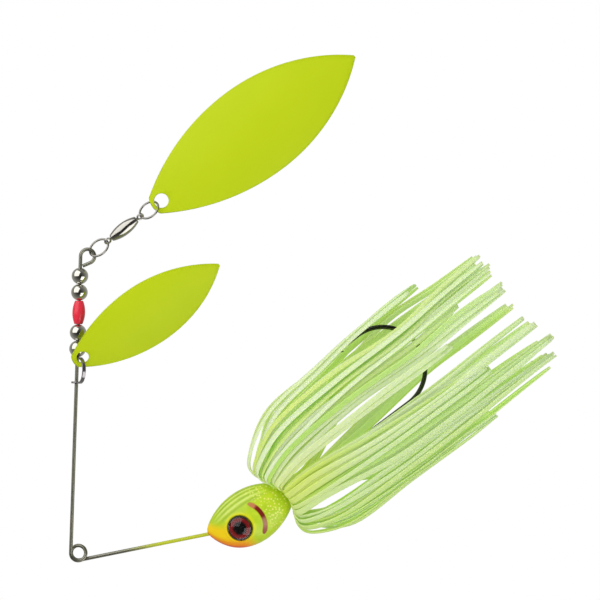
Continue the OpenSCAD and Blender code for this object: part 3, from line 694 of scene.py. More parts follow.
# %% Printed eye and clear lens
EYE_STOPS = [(0.0, (4, 4, 4)), (0.42, (4, 4, 4)), (0.48, (64, 2, 6)), (0.58, (152, 4, 12)),
             (0.76, (170, 8, 18)), (0.85, (84, 4, 8)), (0.9, (10, 2, 2)), (1.0, (4, 2, 2))]
FIBRE_WANDER = 0.10
eye_look, tree = finish_of("printed_eye", {"Roughness": 0.3})
middle = worked(tree, "SUBTRACT", field(tree, "reach"), FIBRE_WANDER / 2)
wander = worked(tree, "MULTIPLY_ADD", fibre(tree, (60.0, 1.2), 2.0), FIBRE_WANDER, middle)
shade(tree, {"Base Color": graded(tree, wander, EYE_STOPS)})
dress(eye_look, *discs)

lens_look, tree = finish_of("clear_lens", {
    "Base Color": (1, 1, 1), "Transmission Weight": 1.0, "IOR": 1.12,
    "Coat Weight": 0.62, "Coat IOR": 1.62, "Coat Roughness": 0.04,
})
grained(tree, 600.0, 0.0, 0.05)
dress(lens_look, *lenses)

# %% [markdown]
# ## The hook
#
# The hook is one steel rod in black nickel: a straight shank out of the lead, a round bend, and a leg
# that tapers to a point with a barb on its inner side. The rod is a swept circle whose radius shrinks
# towards the point, and the barb is a second, flattened sweep.

# %% Hook surface
HOOK_D, BEND_R, BEND_Z, POINT_LEN, TAPER = 1.15, 10.6, -88.5, 9.2, 5.6
SHANK_TOP, BEND_EASE, TIP_SHARE, LEG_RINGS = -43.0, 0.5, 0.04, 40
BARB_AT, BARB_IN, BARB_OUT, BARB_LEN = 1.9, 0.15, 1.05, 2.3
BARB_CURVE, BARB_TIP, BARB_TAPERS = 1.4, 0.02, ((0.36, 0.7), (0.2, 0.5))
bend_x, point_x, point_z = SHANK_X + BEND_R, SHANK_X + 2 * BEND_R, BEND_Z + POINT_LEN
turn = np.linspace(np.pi, 2 * np.pi, 70)
leg_z = np.linspace(BEND_Z + BEND_EASE, point_z, LEG_RINGS)
hook_path = np.concatenate([
    in_plane(SHANK_X, np.linspace(SHANK_TOP, BEND_Z + BEND_EASE, 60)),
    in_plane(bend_x + BEND_R * np.cos(turn), BEND_Z + BEND_R * np.sin(turn)),
    in_plane(point_x, leg_z),
])
to_tip = np.clip((point_z - leg_z) / TAPER, 0, 1)
slim = np.ones(len(hook_path))
slim[-LEG_RINGS:] = np.clip(TIP_SHARE + (1 - TIP_SHARE) * np.sqrt(to_tip * (2 - to_tip)), TIP_SHARE, 1)
rod = carried(hook_path, (HOOK_D / 2 * slim)[:, None, None] * circle(1.0, 28), (0, 1, 0))
fish_hook = skin("fish_hook", rod)
t = np.linspace(0, 1, 16)
barb_path = in_plane(point_x - BARB_IN - BARB_OUT * t**BARB_CURVE, point_z - BARB_AT - BARB_LEN * t)
barb_half = np.stack([size * (1 - t) ** power + BARB_TIP for size, power in BARB_TAPERS], 1)
barb = skin("hook_barb", carried(barb_path, barb_half[:, None, :] * circle(1.0, 16), (0, 1, 0)))
fitted(fish_hook, "lure", "hook_steel", "hook")
fitted(barb, "lure", "hook_steel")
dress(hook_steel, fish_hook, barb)

# %% [markdown]
# ## The skirt
#
# The skirt is a bundle of flat silicone strands that a rubber collar holds on the keeper. Each runs right
# through the collar: its back half trails beside the hook, and its front half springs up behind the head,
# folds over and trails outside. A hair system could grow them, but one formula for every strand at once
# keeps them folded, tufted and clear of the hook.

# %% Collar
COLLAR_TOP, COLLAR_H, COLLAR_IN, COLLAR_WALL = -52.2, 3.0, 3.45, 1.1
collar_half = np.array([COLLAR_WALL / 2, COLLAR_H / 2])
collar_middle = np.array([COLLAR_IN + COLLAR_WALL / 2, COLLAR_TOP - COLLAR_H / 2])
bulge = collar_middle + collar_half * squared(circle(1.0, 40), (0.8, 0.6))
band_grid = turned(bulge, np.array([SHANK_X, 0, 0]), (0, 0, 1), (1, 0, 0), 96)
skirt_band = skin("skirt_band", band_grid, close=(True, True))
fitted(skirt_band, "lure", "collar_rubber", "skirt_collar")

# Painted light: the collar is paler than its rubber and glows a little, to lift the shade it sits in under
# the folded strands
band_look, tree = finish_of("collar_rubber", {"Emission Strength": 0.25})
shade_lifting_pale = {"Paint": linear(214, 230, 150), "Thin": linear(200, 220, 120)}
tone = painted(tree, 0.1, {"Scale": 500.0, **shade_lifting_pale})
shade(tree, {"Base Color": tone, "Emission Color": tone})
dress(band_look, skirt_band)

# %% [markdown]
# Strands stick together in tufts, and between the tufts the hook and the white behind the lure show
# through. So a tuft is a short list: the skirt piece it is part of, how many strands it has, and its
# route down from the fold at five points, as their distances from the shank, half the spread there, and
# their heights.

# %% Tufts on the near and the far side of the hook, from the point side to the other
NEAR_TUFTS = [
    (1, 2, (18.4, 20.7, 21.9, 22.5, 22.8), (0.9, 0.4, 0.3, 0.3, 0.3), (-60, -76, -86, -96, -106)),
    (2, 9, (13.5, 15, 15, 16, 16.5), (3.2, 2.8, 1.5, 2, 2), (-60, -78, -97, -112, -125.5)),
    (2, 2, (10.2, 11.7, 11.4, 11.9, 12.4), (0.4, 0.3, 0.1, 0.2, 0.2), (-60, -78, -97, -106, -114)),
    (3, 5, (7.9, 9.1, 8.6, 9.2, 9.2), (1.6, 1, 1, 1, 0.7), (-60, -78, -97, -112, -125)),
    (3, 3, (5.1, 5.5, 5.8, 5.7, 5.6), (0.8, 0.5, 0.6, 0.5, 0.4), (-60, -76, -88, -98, -106)),
    (5, 8, (0.2, -1.8, -2.6, -2.7, -2.7), (2, 1.8, 1.5, 0.2, 0.2), (-60, -78, -97, -110, -125.5)),
    (5, 2, (-0.3, -0.1, -0.4, 0, 0.1), (0.3, 0.2, 0.2, 0.1, 0.1), (-60, -78, -97, -112, -125)),
    (5, 4, (-3.6, -4.6, -4.9, -5, -5), (1, 0.8, 0.8, 0.7, 0.6), (-60, -78, -92, -102, -110)),
    (6, 6, (-5.3, -7.4, -8, -8.1, -7.8), (1.1, 1.3, 1.2, 1.1, 0.6), (-60, -78, -97, -112, -127.5)),
    (7, 7, (-10.4, -11.3, -11.4, -11.6, -11.9), (1.6, 1.5, 1.1, 0.7, 0.5), (-60, -78, -97, -112, -125)),
    (8, 6, (-13.9, -14.8, -14.9, -15.1, -15.3), (1.4, 1.1, 0.8, 0.5, 0.3), (-60, -78, -94, -100, -104.5)),
]
FAR_TUFTS = [
    (1, 5, (17.4, 19.6, 21.6, 22.2, 22.3), (2.2, 1.1, 0.8, 0.7, 0.6), (-60, -78, -92, -101, -108)),
    (2, 9, (12.5, 14.6, 16.6, 16.4, 16.8), (3.4, 3.5, 3, 2.5, 2.5), (-60, -78, -97, -112, -125)),
    (3, 4, (7.6, 9, 8.9, 9.2, 9.2), (1.4, 0.9, 1.2, 0.9, 0.7), (-60, -78, -97, -112, -126)),
    (4, 6, (0.4, 1.9, 3.5, 3.7, 3.8), (0.8, 1.5, 1.1, 0.8, 0.7), (-60, -78, -97, -110, -125)),
    (5, 5, (-1.8, -2.4, -2.7, -2.7, -2.7), (1.4, 1.3, 1.2, 0.2, 0.2), (-60, -78, -97, -110, -125.5)),
    (6, 4, (-5.1, -7.2, -7.9, -8.1, -8.2), (1, 1.2, 1.1, 0.9, 0.5), (-60, -78, -97, -112, -125)),
    (7, 4, (-10.4, -11.4, -11.4, -11.6, -11.6), (1.1, 1.1, 1, 0.6, 0.5), (-60, -78, -97, -112, -123.5)),
    (8, 3, (-14.3, -15.2, -15, -14.8, -14.7), (0.8, 0.6, 0.5, 0.2, 0.1), (-60, -78, -97, -112, -122.5)),
]
SKIRT_PIECES = 8
LAYERS, LAYER_R0, LAYER_STEP, LAYER_SINK, LAYER_IN = 2, 2.25, 0.45, 0.7, 0.14
ROOT_SEAM = 11.25
GOLDEN = 0.618034
CROSSING = 0.3
dice = np.random.default_rng(7)


def gathered(tufts, hand):
    """One row for each strand of a side: its piece, its tuft's distances out, its own places x and
    heights z down the route, its layer under the collar from 0 to 2, and its angle round the collar.
    hand is -1 near and 1 far. The layer is the fraction of the strand's number times the golden ratio,
    so neighbours differ, and random shifts across the tuft make them cross a little."""
    piece, counts, outs, halves, heights = (np.array(column) for column in zip(*tufts))
    tuft = np.repeat(np.arange(len(tufts)), counts)
    k = np.arange(counts.sum())
    j = k - np.repeat(np.cumsum(counts) - counts, counts)
    out = outs[tuft]
    off = (1 - 2 * j / (counts[tuft] - 1))[:, None] + dice.uniform(-CROSSING, CROSSING, out.shape)
    layer = LAYERS * ((GOLDEN * k) % 1)
    angle = np.radians(hand * (ROOT_SEAM + (180 - 2 * ROOT_SEAM) * (k + 0.5) / len(k)))
    x, z = out + off * halves[tuft], heights[tuft]
    return {"piece": piece[tuft], "out": out, "x": x, "z": z, "layer": layer, "angle": angle, "hand": hand}


near_strands, far_strands = gathered(NEAR_TUFTS, -1), gathered(FAR_TUFTS, 1)
print("strands on each side:", len(near_strands["x"]), len(far_strands["x"]))

# %% Route of every strand
FORE_REACH, BACK_REACH, DEPTH_REACH = 23.5, 16.6, 12.0
ROUTE_DEPTH = np.array([0.62, 0.8, 0.86, 0.86, 0.72])
EDGE_Y, EDGE_POWER = 1.2, 0.7
ROOT_OUT, MOUTH_R, MOUTH_Z, MOUTH_SINK = 0.1, 0.5, 1.1, 0.4
FOLD_R, FOLD_DEPTH, FOLD_TURN = 4.2, 0.8, 0.6
CREST_SHARE, CREST_TURN = 0.3, 0.4
CREST_Z, FORE_CREST_Z, BACK_CREST_Z = -50.5, -46.8, -47.9
FORE_SHOULDER, BACK_SHOULDER, SIDE_SHOULDER = np.array([[0.58, -49.2], [0.70, -50.0], [0.5, -51.5]])
TRAIL_Y, TRAIL_STEP, TRAIL_IN, TRAIL_THIN = 2.95, 0.9, 0.15, 0.6
TRAIL_LEAVE = ((0, 0), (1.2, 5), (2, 10))
TRAIL_JOIN = np.array([0.5, 0.8, 0.4])


def reach_at(x):
    """How far the skirt goes from the shank in the wire's plane, on the side where x lies."""
    return np.where(x > 0, FORE_REACH, BACK_REACH)


def around(r, a, z):
    """Points at a distance r from the shank, an angle a round it and a height z."""
    return np.stack(np.broadcast_arrays(r * np.cos(a), r * np.sin(a), z), -1)


def hung_points(s):
    """Hanging points of the front halves: x along the tuft's route, and y on an oval whose depth is a
    share of the reach, smaller for inner layers and drawn in to EDGE_Y at the skirt's edges."""
    x = s["x"]
    full = DEPTH_REACH * ROUTE_DEPTH * (1 - LAYER_IN * s["layer"])[:, None]
    edge = np.maximum(1 - (x / reach_at(x)) ** 2, 0) ** EDGE_POWER
    return np.stack([x, s["hand"] * (EDGE_Y + (full - EDGE_Y) * edge), s["z"]], -1)


def front_curves(s):
    """Front halves: out of the collar, over the fold's crest and shoulder, and down the hanging points."""
    a, layer, hung = s["angle"], s["layer"], hung_points(s)
    r, edge, sink = LAYER_R0 + LAYER_STEP * layer, np.cos(a)[:, None], LAYER_SINK * layer
    b = a + FOLD_TURN * (np.arctan2(hung[:, 0, 1], hung[:, 0, 0]) - a)
    fold = 1 / np.hypot(np.cos(b) / reach_at(np.cos(b)), np.sin(b) / (FOLD_DEPTH * DEPTH_REACH))
    span = (1 - LAYER_IN * layer) * fold - FOLD_R
    crest = CREST_Z + (np.where(np.cos(a) > 0, FORE_CREST_Z, BACK_CREST_Z) - CREST_Z) * np.cos(a) ** 2
    shoulder = SIDE_SHOULDER + (np.where(edge > 0, FORE_SHOULDER, BACK_SHOULDER) - SIDE_SHOULDER) * edge**2
    rise = [around(r, a, COLLAR_TOP + ROOT_OUT),
            around(r + MOUTH_R, a, COLLAR_TOP + MOUTH_Z - MOUTH_SINK * layer),
            around(FOLD_R + CREST_SHARE * span, a + CREST_TURN * (b - a), crest - sink),
            around(FOLD_R + shoulder[:, 0] * span, b, shoulder[:, 1] - sink)]
    return np.concatenate([np.stack(rise, 1), hung], 1)


def back_curves(s):
    """Back halves: out of the collar's lower end and down beside the hook, nearer to it than the front."""
    a, layer, x = s["angle"], s["layer"], s["x"]
    r, root_z = LAYER_R0 + LAYER_STEP * layer, COLLAR_TOP - COLLAR_H - ROOT_OUT
    far_out = (x / reach_at(x)) ** 2
    y = s["hand"] * (TRAIL_Y + TRAIL_STEP * layer[:, None] * (1 - TRAIL_THIN * far_out))
    hung = np.stack([x * (1 - TRAIL_IN * far_out), y, s["z"]], -1)[:, 1:]
    root, mouth, out = (around(r + away, a, root_z - fall) for away, fall in TRAIL_LEAVE)
    rise = [root, mouth, out + (hung[:, 0] - out) * TRAIL_JOIN]
    return np.concatenate([np.stack(rise, 1), hung], 1)


# %% Strand surface
STRAND_W, STRAND_T, ROOT_ROOM, BACK_WIDTH = 1.4, 0.36, 0.28, 0.8
FRONT_RINGS, BACK_RINGS, RING_CROWD = 72, 40, 1.15
FRONT_UNEVEN, BACK_SHORT, BACK_UNEVEN, GAP_SHORT = 0.03, 0.86, 0.12, 0.2
GAP_MIDDLE, GAP_HALF, POINT_SIDE = 5.2, 4.2, 18.0
SWAY_FROM, SWAY_OVER, TWIST_RATE = -58, -60, 1.3
FAN_FRONT, FAN_BACK, BACK_ROOM, WIDTH_UNEVEN = (5, 7), (3.2, 3), 0.5, 0.2
NARROWED, NARROW_POWER, THINNED, THIN_POWER = 0.35, 16, 0.4, 20
TIP_POWER, MINT, NECK, NECK_HALF = 3, (2.0, -12), (-76, 22), 4.6
SHADE_LEAST, SHADE_RANGE, SHADE_SCRAMBLE = 0.3, 0.9, 7.3
SWAY, DRIFT, TWIST = ((0.24, 2.6), (0.13, 7.0)), ((0.22, 3.2), (0.12, 8.1)), ((0.34, 2.2), (0.2, 5.0))
CORNER = squared(circle(1.0, 10), (0.55, 0.8))


def waver(starts, tip, waves):
    """Two sine waves along a strand, each a size times the sine of its start plus a rate times tip."""
    return sum(size * np.sin(start + rate * tip) for start, (size, rate) in zip(starts, waves))


def strand_skins(s):
    """Every strand of one side, front tip to back tip: a flat oval carried along its route. Its flat side
    turns from round the collar to round the skirt's oval in front, and to the wire's plane behind. It
    narrows at collar and tips, twists a little and sways more towards its tip. In the hook's gap the back
    half is cut short. With the points come the fields that the finish reads."""
    count = len(s["x"])
    start = dice.uniform(0, 2 * np.pi, (6, count, 1))
    front_t = (np.linspace(1, 0, FRONT_RINGS) ** RING_CROWD)[None]
    front_t = front_t * (1 - FRONT_UNEVEN * dice.uniform(0, 1, (count, 1)))
    back_t = BACK_SHORT + BACK_UNEVEN * dice.uniform(0, 1, (count, 1))
    x = s["out"][:, 1:2]
    in_gap = (np.abs(x - GAP_MIDDLE) < GAP_HALF) | (x > POINT_SIDE)
    back_t = np.linspace(0, 1, BACK_RINGS)[None] * back_t * np.where(in_gap, GAP_SHORT, 1.0)
    path = np.concatenate([through(front_curves(s), front_t), through(back_curves(s), back_t)], 1)
    tip = np.concatenate([np.linspace(1, 0, FRONT_RINGS), np.linspace(0, 1, BACK_RINGS)])[None]
    trails = np.arange(FRONT_RINGS + BACK_RINGS)[None] >= FRONT_RINGS
    down = ease(path[..., 2], SWAY_FROM, SWAY_OVER)
    sway, drift = down * waver(start[:2], tip, SWAY), down * waver(start[2:4], tip, DRIFT)
    path = path + np.stack([sway, drift, 0 * sway], -1)
    px, py, zero = path[..., 0], path[..., 1], 0 * sway
    r = np.hypot(px, py)
    fan = np.where(trails[..., None], FAN_BACK, FAN_FRONT)
    out = np.clip((r - fan[..., 0]) / fan[..., 1], 0, 1)
    flat = np.stack([-py * (1 + ((reach_at(px) / DEPTH_REACH) ** 2 - 1) * out), px, zero], -1)
    ring = np.stack([-py, px, zero], -1) / r[..., None]
    level = np.stack([-np.sign(py), zero, zero], -1)
    across = unit(np.where(trails[..., None], ring + (level - ring) * out[..., None], flat))
    along = unit(np.gradient(path, axis=1))
    face = unit(np.cross(along, across))
    twist = (ease(tip * TWIST_RATE) * waver(start[4:], tip, TWIST))[..., None]
    wide = unit(across * np.cos(twist) + face * np.sin(twist))
    face = unit(np.cross(along, wide))
    room = ROOT_ROOM * (r - STRAND_T / 2) * np.where(trails, BACK_ROOM, 1.0)
    free = STRAND_W * np.where(trails, BACK_WIDTH, 1.0) * (1 + WIDTH_UNEVEN * np.sin(start[2]))
    w = np.minimum(free, room) * (1 - NARROWED * tip**NARROW_POWER)
    t = STRAND_T * (1 - THINNED * tip**THIN_POWER) + zero
    P = path[:, :, None] + (w / 2)[..., None, None] * CORNER[:, :1] * wide[:, :, None]
    P = P + (t / 2)[..., None, None] * CORNER[:, 1:] * face[:, :, None]
    tint = dice.uniform(0, 1, (count, 1)) + zero
    fields = {
        "tip": tip**TIP_POWER + zero,
        "tint": tint,
        "mint": ease(s["out"][:, 2:3], *MINT) + zero,
        # inner marks the back halves and far strands for painted shade, some strands more than others
        "inner": np.maximum(trails, s["hand"] > 0) * (SHADE_LEAST + SHADE_RANGE * ((SHADE_SCRAMBLE * tint) % 1)),
        "neck": np.exp(-((px / NECK_HALF) ** 2)) * ease(path[..., 2], *NECK),
    }
    return P + np.array([SHANK_X, 0, 0]), fields


def of_piece(n, near, far):
    """The near and the far strands of one skirt piece, one after the other."""
    return np.concatenate([near[near_strands["piece"] == n], far[far_strands["piece"] == n]])


(near_P, near_fields), (far_P, far_fields) = strand_skins(near_strands), strand_skins(far_strands)
skirt_pieces = []
for n in range(1, SKIRT_PIECES + 1):
    fields = {key: of_piece(n, near_fields[key], far_fields[key])[..., None] for key in near_fields}
    piece = skin(f"skirt_tuft_{n}", of_piece(n, near_P, far_P), fields=fields)
    skirt_pieces.append(fitted(piece, "lure", "skirt_silicone", f"skirt_strands_{n}"))

# %% Silicone strands: chartreuse, each with its own tint, deeper at the neck, paler at the tips, with painted shade on the back halves and far strands and a painted glow
STRAND_STOPS = [
    (0.0, (140, 200, 56)), (0.08, (150, 204, 70)), (0.11, (190, 214, 116)), (0.3, (200, 220, 150)),
    (0.36, (226, 231, 208)), (0.56, (220, 227, 194)), (0.62, (202, 218, 104)), (0.72, (206, 220, 126)),
    (0.78, (232, 236, 224)), (1.0, (218, 229, 200)),
]
PAINTED_GLOW, SHADE_LIFT_GLOW = 0.15, 0.12
skirt_look, tree = finish_of("skirt_silicone", {
    "Roughness": 0.42, "Specular IOR Level": 0.4, "Emission Strength": 1.0,
    "Subsurface Weight": 0.6, "Subsurface Radius": (1.0, 1.0, 0.5), "Subsurface Scale": 0.0012,
})
vein = fibre(tree, (6.0, 14.0), 3.0)
tone = layered(tree, graded(tree, field(tree, "tint"), STRAND_STOPS), [
    (worked(tree, "MULTIPLY", vein, 0.9), (190, 214, 120)),
    (field(tree, "mint", 0.45), (176, 212, 114)),
    (field(tree, "tip", 0.8), (199, 223, 168)),
    # Painted shade: the strands marked inner, the back halves and far strands, go a deeper, fuller green
    (field(tree, "inner", 0.4), (184, 220, 92)),
    (field(tree, "neck", 0.7), (196, 212, 70)),
])
# Painted glow: a little for the dye's fluorescence, and more to lift the shade between strands, most on the
# shaded back halves and far strands
painted_glow = worked(tree, "MULTIPLY_ADD", field(tree, "inner"), SHADE_LIFT_GLOW, PAINTED_GLOW)
lit = add(tree, "VectorMath", {0: tone, "Scale": painted_glow}, operation="SCALE").outputs["Vector"]
shade(tree, {"Base Color": tone, "Emission Color": lit})
bumped(tree, vein, 0.1, PEEL_DEPTH)
dress(skirt_look, *skirt_pieces)

# %% [markdown]
# ## The beads on the arm
#
# Four polished metal balls and one long red bead ride on the blade arm and keep the small blade's clevis
# away from the end eye. Each is a closed profile turned about the wire: outer curve, rounded lip and
# bore. A boolean could cut the bore, but a turned profile has clean edges.

# %% Metal beads
BEAD_D, BORE_D, STACK_GAP, RED_LEN, RED_D = 4.15, 1.2, 0.1, 5.9, 3.2
FIRST_BEAD_AT, BEAD_SIDES = 69.3, 72
BALL_STOP, BALL_LIP, BALL_WALL = 0.06, (0.02, -0.05), 0.2
BEAD_BODIES = ("first_bead", "second_bead", "third_bead", "stop_bead")
bead_r, bore_r, red_half = BEAD_D / 2, BORE_D / 2, RED_LEN / 2
bead_half = np.sqrt(bead_r**2 - bore_r**2)
pitch = 2 * bead_half + STACK_GAP
red_at = FIRST_BEAD_AT - pitch - bead_half - STACK_GAP - red_half
third_at = red_at - red_half - STACK_GAP - bead_half
bead_at = [FIRST_BEAD_AT, FIRST_BEAD_AT - pitch, third_at, third_at - pitch]


def on_wire(name, profile, at):
    """A closed profile turned about the blade arm at a distance from the coil."""
    return skin(name, turned(profile, on_arm(at), arm_along, (0, 1, 0), BEAD_SIDES), close=(True, True))


def ball_profile():
    """Half a circle from bore to bore, with a small rounded lip, closed by the bore's wall."""
    edge = np.arcsin(bead_half / bead_r) - BALL_STOP
    t = np.linspace(-edge, edge, 48)
    lip = np.array([[bore_r, bead_half]]) + BALL_LIP
    wall = np.stack([np.full(6, bore_r), np.linspace(bead_half - BALL_WALL, BALL_WALL - bead_half, 6)], 1)
    return np.concatenate([bead_r * np.stack([np.cos(t), np.sin(t)], 1), lip, wall, mirrored(lip)])


for k, (body, at) in enumerate(zip(BEAD_BODIES, bead_at), 1):
    ball = on_wire(f"nickel_bead_{k}", ball_profile(), at)
    dress(bead_nickel, ball)
    fitted(ball, body, "bead_nickel", f"metal_bead_{k}")

# %% Red bead
RED_END, RED_ROUND = 0.62, 0.12
RED_CAP = ((-0.04, -0.03), (-0.14, 0), (0.08, 0), (0, -0.08))
end_r = RED_END * RED_D / 2


def barrel_curve(half, radius, end, h):
    """A barrel's outer side at heights h: the arc through its middle radius and its end radius."""
    arc = (half**2 + (radius - end) ** 2) / (2 * (radius - end))
    return np.stack([np.sqrt(arc**2 - h**2) - arc + radius, h], 1)


h = np.linspace(RED_ROUND - red_half, red_half - RED_ROUND, 48)
outer = barrel_curve(red_half, RED_D / 2, end_r, h)
cap = np.stack([[end_r, end_r, bore_r, bore_r], np.full(4, red_half)], 1) + RED_CAP
red_bead = on_wire("red_bead_gloss", np.concatenate([outer, cap, mirrored(cap)]), red_at)
fitted(red_bead, "long_bead", "red_plastic", "red_bead")

red_look, tree = finish_of("red_plastic", {
    "Roughness": 0.24, "Subsurface Weight": 0.15,
    "Subsurface Radius": (1.0, 0.2, 0.2), "Subsurface Scale": 0.001,
})
shade(tree, {"Base Color": mixed(tree, noise(tree, 160.0, 2.0), linear(238, 48, 70), linear(242, 56, 78))})
dress(red_look, red_bead)

# %% [markdown]
# ## The clevis
#
# The clevis is a strip of thin metal folded to a U. Its two drilled ears run on the wire, and its bow
# passes through the small blade's hole, so that the blade can turn round the arm. The strip is a rounded
# rectangle carried along the U, and each ear is a turned washer.

# %% Clevis surface
STRAP_W, STRAP_T, EAR_D, EAR_ROUND = 0.9, 0.45, 2.6, 0.06
CLEVIS_SPAN, CLEVIS_REACH, CLEVIS_TURN = 6.1, 5.2, np.radians(65)
CLEVIS_ROOT, BOW_EASE = 0.8, 0.1
ear_at = bead_at[3] - bead_half - STACK_GAP - STRAP_T / 2
bow_r = CLEVIS_SPAN / 2
clevis_leg = CLEVIS_REACH - bow_r
below = -np.cos(CLEVIS_TURN) * arm_out - np.sin(CLEVIS_TURN) * np.array([0, 1, 0])
turn = np.linspace(np.pi / 2, -np.pi / 2, 48)
leg_reach = np.linspace(CLEVIS_ROOT, clevis_leg - BOW_EASE, 8)
reach = np.concatenate([leg_reach, clevis_leg + bow_r * np.cos(turn), leg_reach[::-1]])
height = bow_r * np.concatenate([np.ones(8), np.sin(turn), -np.ones(8)])
strap_path = on_arm(ear_at - bow_r) + np.outer(reach, below) + np.outer(height, arm_along)
strip = squared(circle(1.0, 24), 0.35) * np.array([STRAP_T / 2, STRAP_W / 2])
strap = skin("clevis_strap", carried(strap_path, strip, np.cross(arm_along, below)))
e, half_t = EAR_ROUND, STRAP_T / 2
rim = np.array([[EAR_D / 2 - e, half_t], [EAR_D / 2, half_t - e]])
bore = np.array([[bore_r, half_t - e], [bore_r + e, half_t]])
ear = np.concatenate([rim, mirrored(rim), mirrored(bore), bore])
washers = [turned(ear, on_arm(at), arm_along, (0, 1, 0), 56) for at in (ear_at, ear_at - CLEVIS_SPAN)]
ears = skin("clevis_ears", np.stack(washers), close=(True, True))
fitted(strap, "clevis_strap", "clevis_steel", "clevis")
fitted(ears, "clevis_strap", "clevis_steel")
dress(clevis_steel, strap, ears)

# %% [markdown]
# ## The blades
#
# A willow-leaf blade is a pointed leaf of thin sheet, dished like a shallow spoon, with one hole near its
# base. Rows of the grid run from the hole's edge out to the rim and back on the other face, and columns
# run round the outline, so the sheet, its rim and its hole are one closed surface.

# %% Blade surface
BLADE_ASPECT, BLADE_T, RIM_ROUND, HOLE_INSET = 0.372, 0.6, 0.14, 2.75
BASE_ARC, TIP_ARC, CROSS_ARC, LENGTH_ARC = 0.885, 0.772, 0.6, 2.35
BASE_ROUND, TIP_BLUNT, BLADE_PITCH = 0.08, 0.2, np.radians(3.4)
RIM_BAND_FROM, RIM_BAND_OVER = 0.965, 0.03
ABOUT_Y, ABOUT_Z = (2, 0), (0, 1)


def leaf_half(length, x):
    """Half the leaf's width at x from its middle: one arc towards the base, another towards the tip, and
    a round base end."""
    arc = np.where(x < 0, BASE_ARC, TIP_ARC) * length
    w = np.sqrt(np.maximum(arc**2 - x**2, 0)) - arc + BLADE_ASPECT * length / 2
    base_r = BASE_ROUND * length
    from_base = np.clip(x + length / 2, 0, base_r)
    base = np.sqrt(np.maximum(base_r**2 - (base_r - from_base) ** 2, 0))
    return np.clip(np.where(x < base_r - length / 2, np.minimum(w, base), w), 0, None)


def leaf_outline(length, count):
    """Points round the leaf, evenly spaced along its edge, from the base round to the base again."""
    x = np.minimum(length / 2 * -np.cos(np.linspace(0, np.pi, 1400)), length / 2 - TIP_BLUNT)
    w = leaf_half(length, x)
    loop = np.concatenate([np.stack([x, w], 1), np.stack([x, -w], 1)[::-1]])
    step = np.concatenate([[0], np.cumsum(np.linalg.norm(np.diff(loop, axis=0), axis=1))])
    at = np.linspace(0, step[-1], count, endpoint=False)
    return np.stack([np.interp(at, step, loop[:, k]) for k in (0, 1)], 1)


def dish(length, x, y):
    """Height of the dished sheet's middle: a ring's surface, with a larger radius along than across."""
    R, r = LENGTH_ARC * length, CROSS_ARC * length
    across = np.sqrt(r**2 - y**2) - r
    return np.sqrt((R + across) ** 2 - x**2) - R


def spun(P, axes, angle):
    """Points turned by an angle in the plane of two axes."""
    a, b = P[..., axes[0]], P[..., axes[1]]
    Q = P.copy()
    Q[..., axes[0]] = np.cos(angle) * a - np.sin(angle) * b
    Q[..., axes[1]] = np.sin(angle) * a + np.cos(angle) * b
    return Q


def blade_skin(name, length, hole_d, hole_at, roll, lean):
    """The blade hung by its hole: grid rows go hole, outer face, rim, inner face. The two faces stand
    half the thickness to each side of the dish, and the rim and the hole's lip are bevelled."""
    edge = leaf_outline(length, 420)
    hole_x = length / 2 - HOLE_INSET
    way = unit(edge - [-hole_x, 0])
    start = np.array([-hole_x, 0]) + way * (hole_d / 2)
    s = np.concatenate([[0.0], np.linspace(0, 1, 44) ** 0.8, [1.0]])
    face = start + s[:, None, None] * (edge - start)
    face[1] = start + RIM_ROUND * way
    face[-2] = edge - RIM_ROUND * way
    lift = np.full((len(s), 1), BLADE_T / 2)
    lift[[0, -1]] = BLADE_T / 2 - RIM_ROUND
    x, y = face[..., 0], face[..., 1]
    back = dish(length, x, y) - dish(length, -hole_x, 0.0)
    outer, inner = (np.stack([x + hole_x, y, back + side * lift], -1) for side in (1, -1))
    P = np.concatenate([outer, inner[::-1]])
    for axes, angle in ((ABOUT_Y, BLADE_PITCH + np.pi / 2), (ABOUT_Z, -np.pi / 2 - roll), (ABOUT_Y, lean)):
        P = spun(P, axes, angle)
    # A band along the outline, where the colour goes a little deeper
    rim_band = ease(np.concatenate([s, s[::-1]]), RIM_BAND_FROM, RIM_BAND_OVER)
    return skin(name, P + np.asarray(hole_at), close=(True, True), fields={"rim": rim_band[:, None]})


# %% Both blades, and the heights of the chain that carries the large one
RING_R, RING_WIRE, LOOP_R, LOOP_WIRE, LINK_GAP = 2.6, 0.55, 0.75, 0.5, 0.06
BARREL_LEN = 8.0
SMALL_LEN, SMALL_HOLE, SMALL_AT = 44.0, 3.0, (38.4, -2.3, -30.65)
SMALL_ROLL, SMALL_LEAN = np.radians(22), np.radians(4.3)
LARGE_LEN, LARGE_HOLE, LARGE_Y = 63.7, 3.6, -0.25
arm_ring_z = eye_centre[2] - EYE_R + WIRE_D / 2 + RING_WIRE / 2 + LINK_GAP - RING_R
top_loop_z = arm_ring_z - RING_R + RING_WIRE / 2 + LOOP_WIRE / 2 + LINK_GAP - LOOP_R
barrel_z = top_loop_z - LOOP_R - LOOP_WIRE / 2 - LINK_GAP - BARREL_LEN / 2
bottom_loop_z = 2 * barrel_z - top_loop_z
blade_ring_z = bottom_loop_z - LOOP_R + LOOP_WIRE / 2 + RING_WIRE / 2 + LINK_GAP - RING_R
chain = np.array([eye_centre[0], 0, 0])
large_at = chain + [0, LARGE_Y, blade_ring_z - RING_R + RING_WIRE / 2 + 4 * LINK_GAP - LARGE_HOLE / 2]
small_blade = blade_skin("small_willow_blade", SMALL_LEN, SMALL_HOLE, SMALL_AT, SMALL_ROLL, SMALL_LEAN)
large_blade = blade_skin("large_willow_blade", LARGE_LEN, LARGE_HOLE, large_at, 0.0, 0.0)
fitted(small_blade, "small_spinner", "blade_paint", "small_blade")
fitted(large_blade, "large_spinner", "blade_paint", "large_blade")

